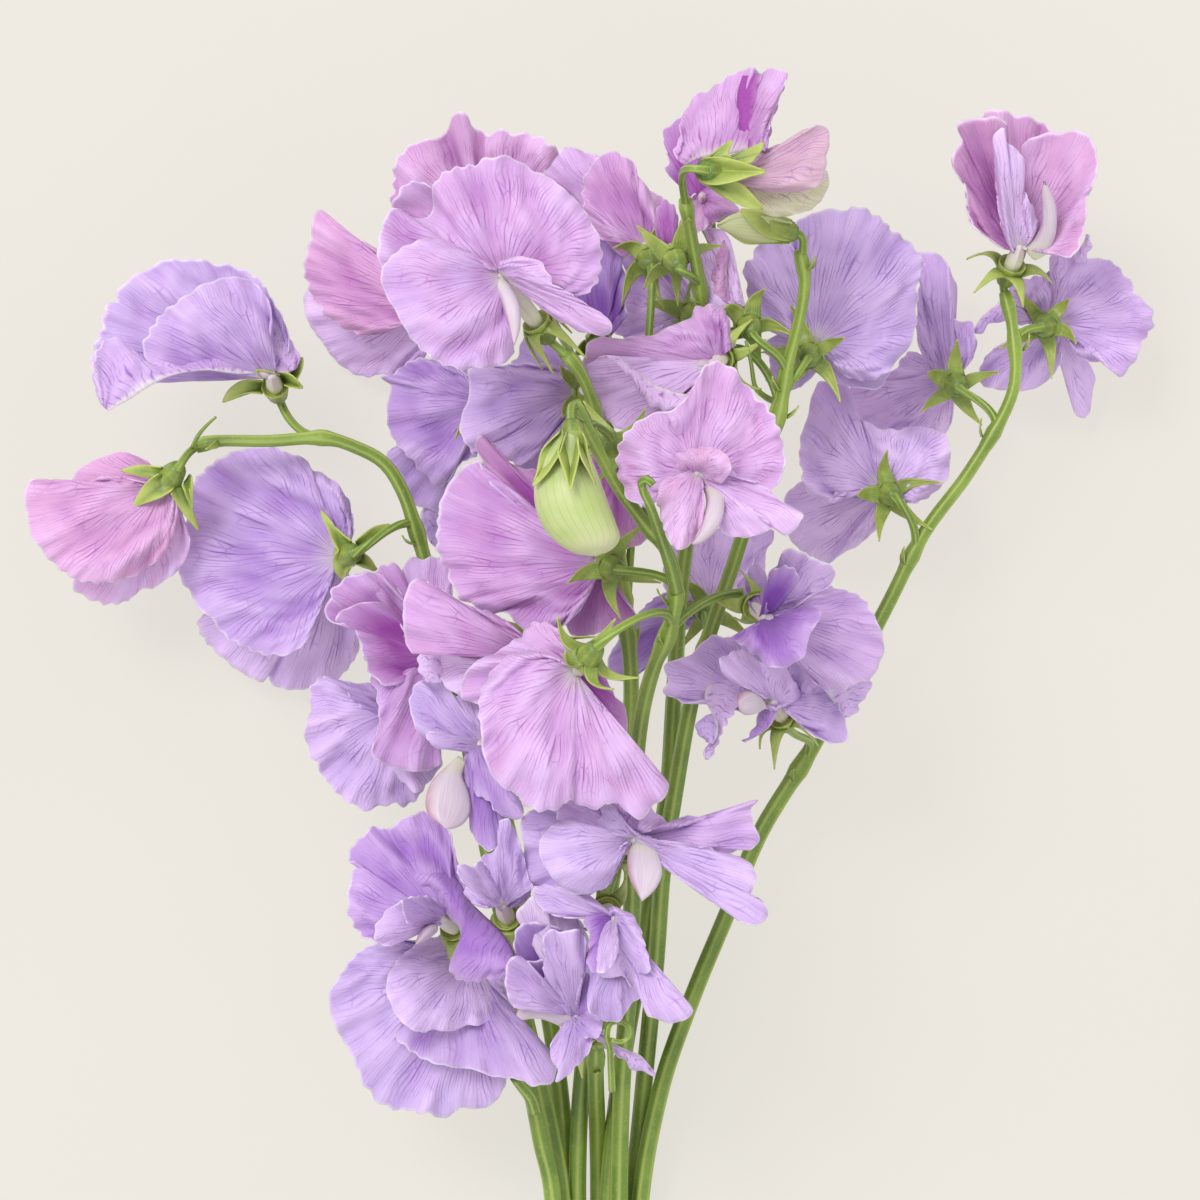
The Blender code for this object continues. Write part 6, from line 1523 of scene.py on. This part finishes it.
faces = seed = 0
for stemNumber, (stem, spots) in enumerate(stems.items()):
    faces += makeStem(stem, spots, blooms[stem], stemNumber)
    for number, bloom in enumerate(blooms[stem], 1):
        seed += 1
        faces += makeBloom(f"bloom_{stem}_{number}_skin", bloom, seed)
    print("made stem", stem, "and its", len(blooms[stem]), "blooms,", faces, "faces so far")


# Plain matt paper over a light panel, a little warm, with a faint mottling: the light from below keeps the
# shadows faint and shines through the petals.
tableLook = {
    "size": 6.0,  # metres
    "colour": "#F5F1E9", "patch": "#F1EDE4",
    "patches": 9.0,  # to a metre, so each is about 110 mm
    "below": 0.77,  # how bright the light from below makes it
    "reflects": 0.12,  # how much of its colour it throws back
    "skin": {"Roughness": 0.95, "Specular IOR Level": 0.1},
}


def makeTable():
    half = tableLook["size"] / 2
    mesh = bpy.data.meshes.new("table")
    corners = [(-half, -half, 0), (half, -half, 0), (half, half, 0), (-half, half, 0)]
    mesh.from_pydata(corners, [], [(0, 1, 2, 3)])
    table = bpy.data.objects.new("table", mesh)
    bpy.context.scene.collection.objects.link(table)
    material, tree, shader, *_, where = newFinish("mattPaper")
    patches = addNode(tree, "TexNoise", {"Vector": where, "Scale": tableLook["patches"], "Detail": 4.0})
    colour = addNode(tree, "Mix", {0: patches, 6: hexColour(tableLook["colour"]),
                                   7: hexColour(tableLook["patch"])}, out=2, data_type="RGBA")
    paper = addNode(tree, "Mix", {0: tableLook["reflects"], 6: hexColour("#000000"), 7: colour},
                    out=2, data_type="RGBA")
    setInputs(tree, shader, {"Base Color": paper, "Emission Color": colour,
                             "Emission Strength": tableLook["below"], **tableLook["skin"]})
    mesh.materials.append(material)


makeTable()

# Soft light from all round, as in a white tent, with one large softbox a little stronger than the rest.
lights = {
    "room": ("#FFFFFF", 1.0),
    "softbox": {"at": (-2.0, 2.4, 5.2), "size": 2.2, "power": 230.0},
}


def makeLights():
    world = bpy.data.worlds.new("tent")
    world.use_nodes = True
    colour, strength = lights["room"]
    world.node_tree.nodes["Background"].inputs[0].default_value = hexColour(colour)
    world.node_tree.nodes["Background"].inputs[1].default_value = strength
    bpy.context.scene.world = world
    look = lights["softbox"]
    lamp = bpy.data.lights.new("softbox", "AREA")
    lamp.shape = "SQUARE"
    lamp.size = look["size"]
    lamp.energy = look["power"]
    softbox = bpy.data.objects.new("softbox", lamp)
    softbox.location = look["at"]
    x, y, z = look["at"]
    softbox.rotation_euler = (math.atan2(math.hypot(x, y), z), 0, math.atan2(y, x) + math.pi / 2)
    bpy.context.scene.collection.objects.link(softbox)


makeLights()

# The camera hangs over the picture's middle and looks straight down.
cameraLook = {"sensor": 36.0}
camera = bpy.data.objects.new("camera", bpy.data.cameras.new("camera"))
pixel = layout["width"] / layout["pixels"]
camera.location = ((layout["pixels"] / 2 - layout["middle"][0]) * pixel / 1000,
                   (layout["middle"][1] - layout["pixels"] / 2) * pixel / 1000, layout["eye"] / 1000)
camera.data.sensor_width = cameraLook["sensor"]
camera.data.lens = cameraLook["sensor"] / layout["width"] * (layout["eye"] - layout["height"])
bpy.context.scene.collection.objects.link(camera)
bpy.context.scene.camera = camera
bpy.context.scene.view_settings.view_transform = "Standard"
print("table, lights and camera made")
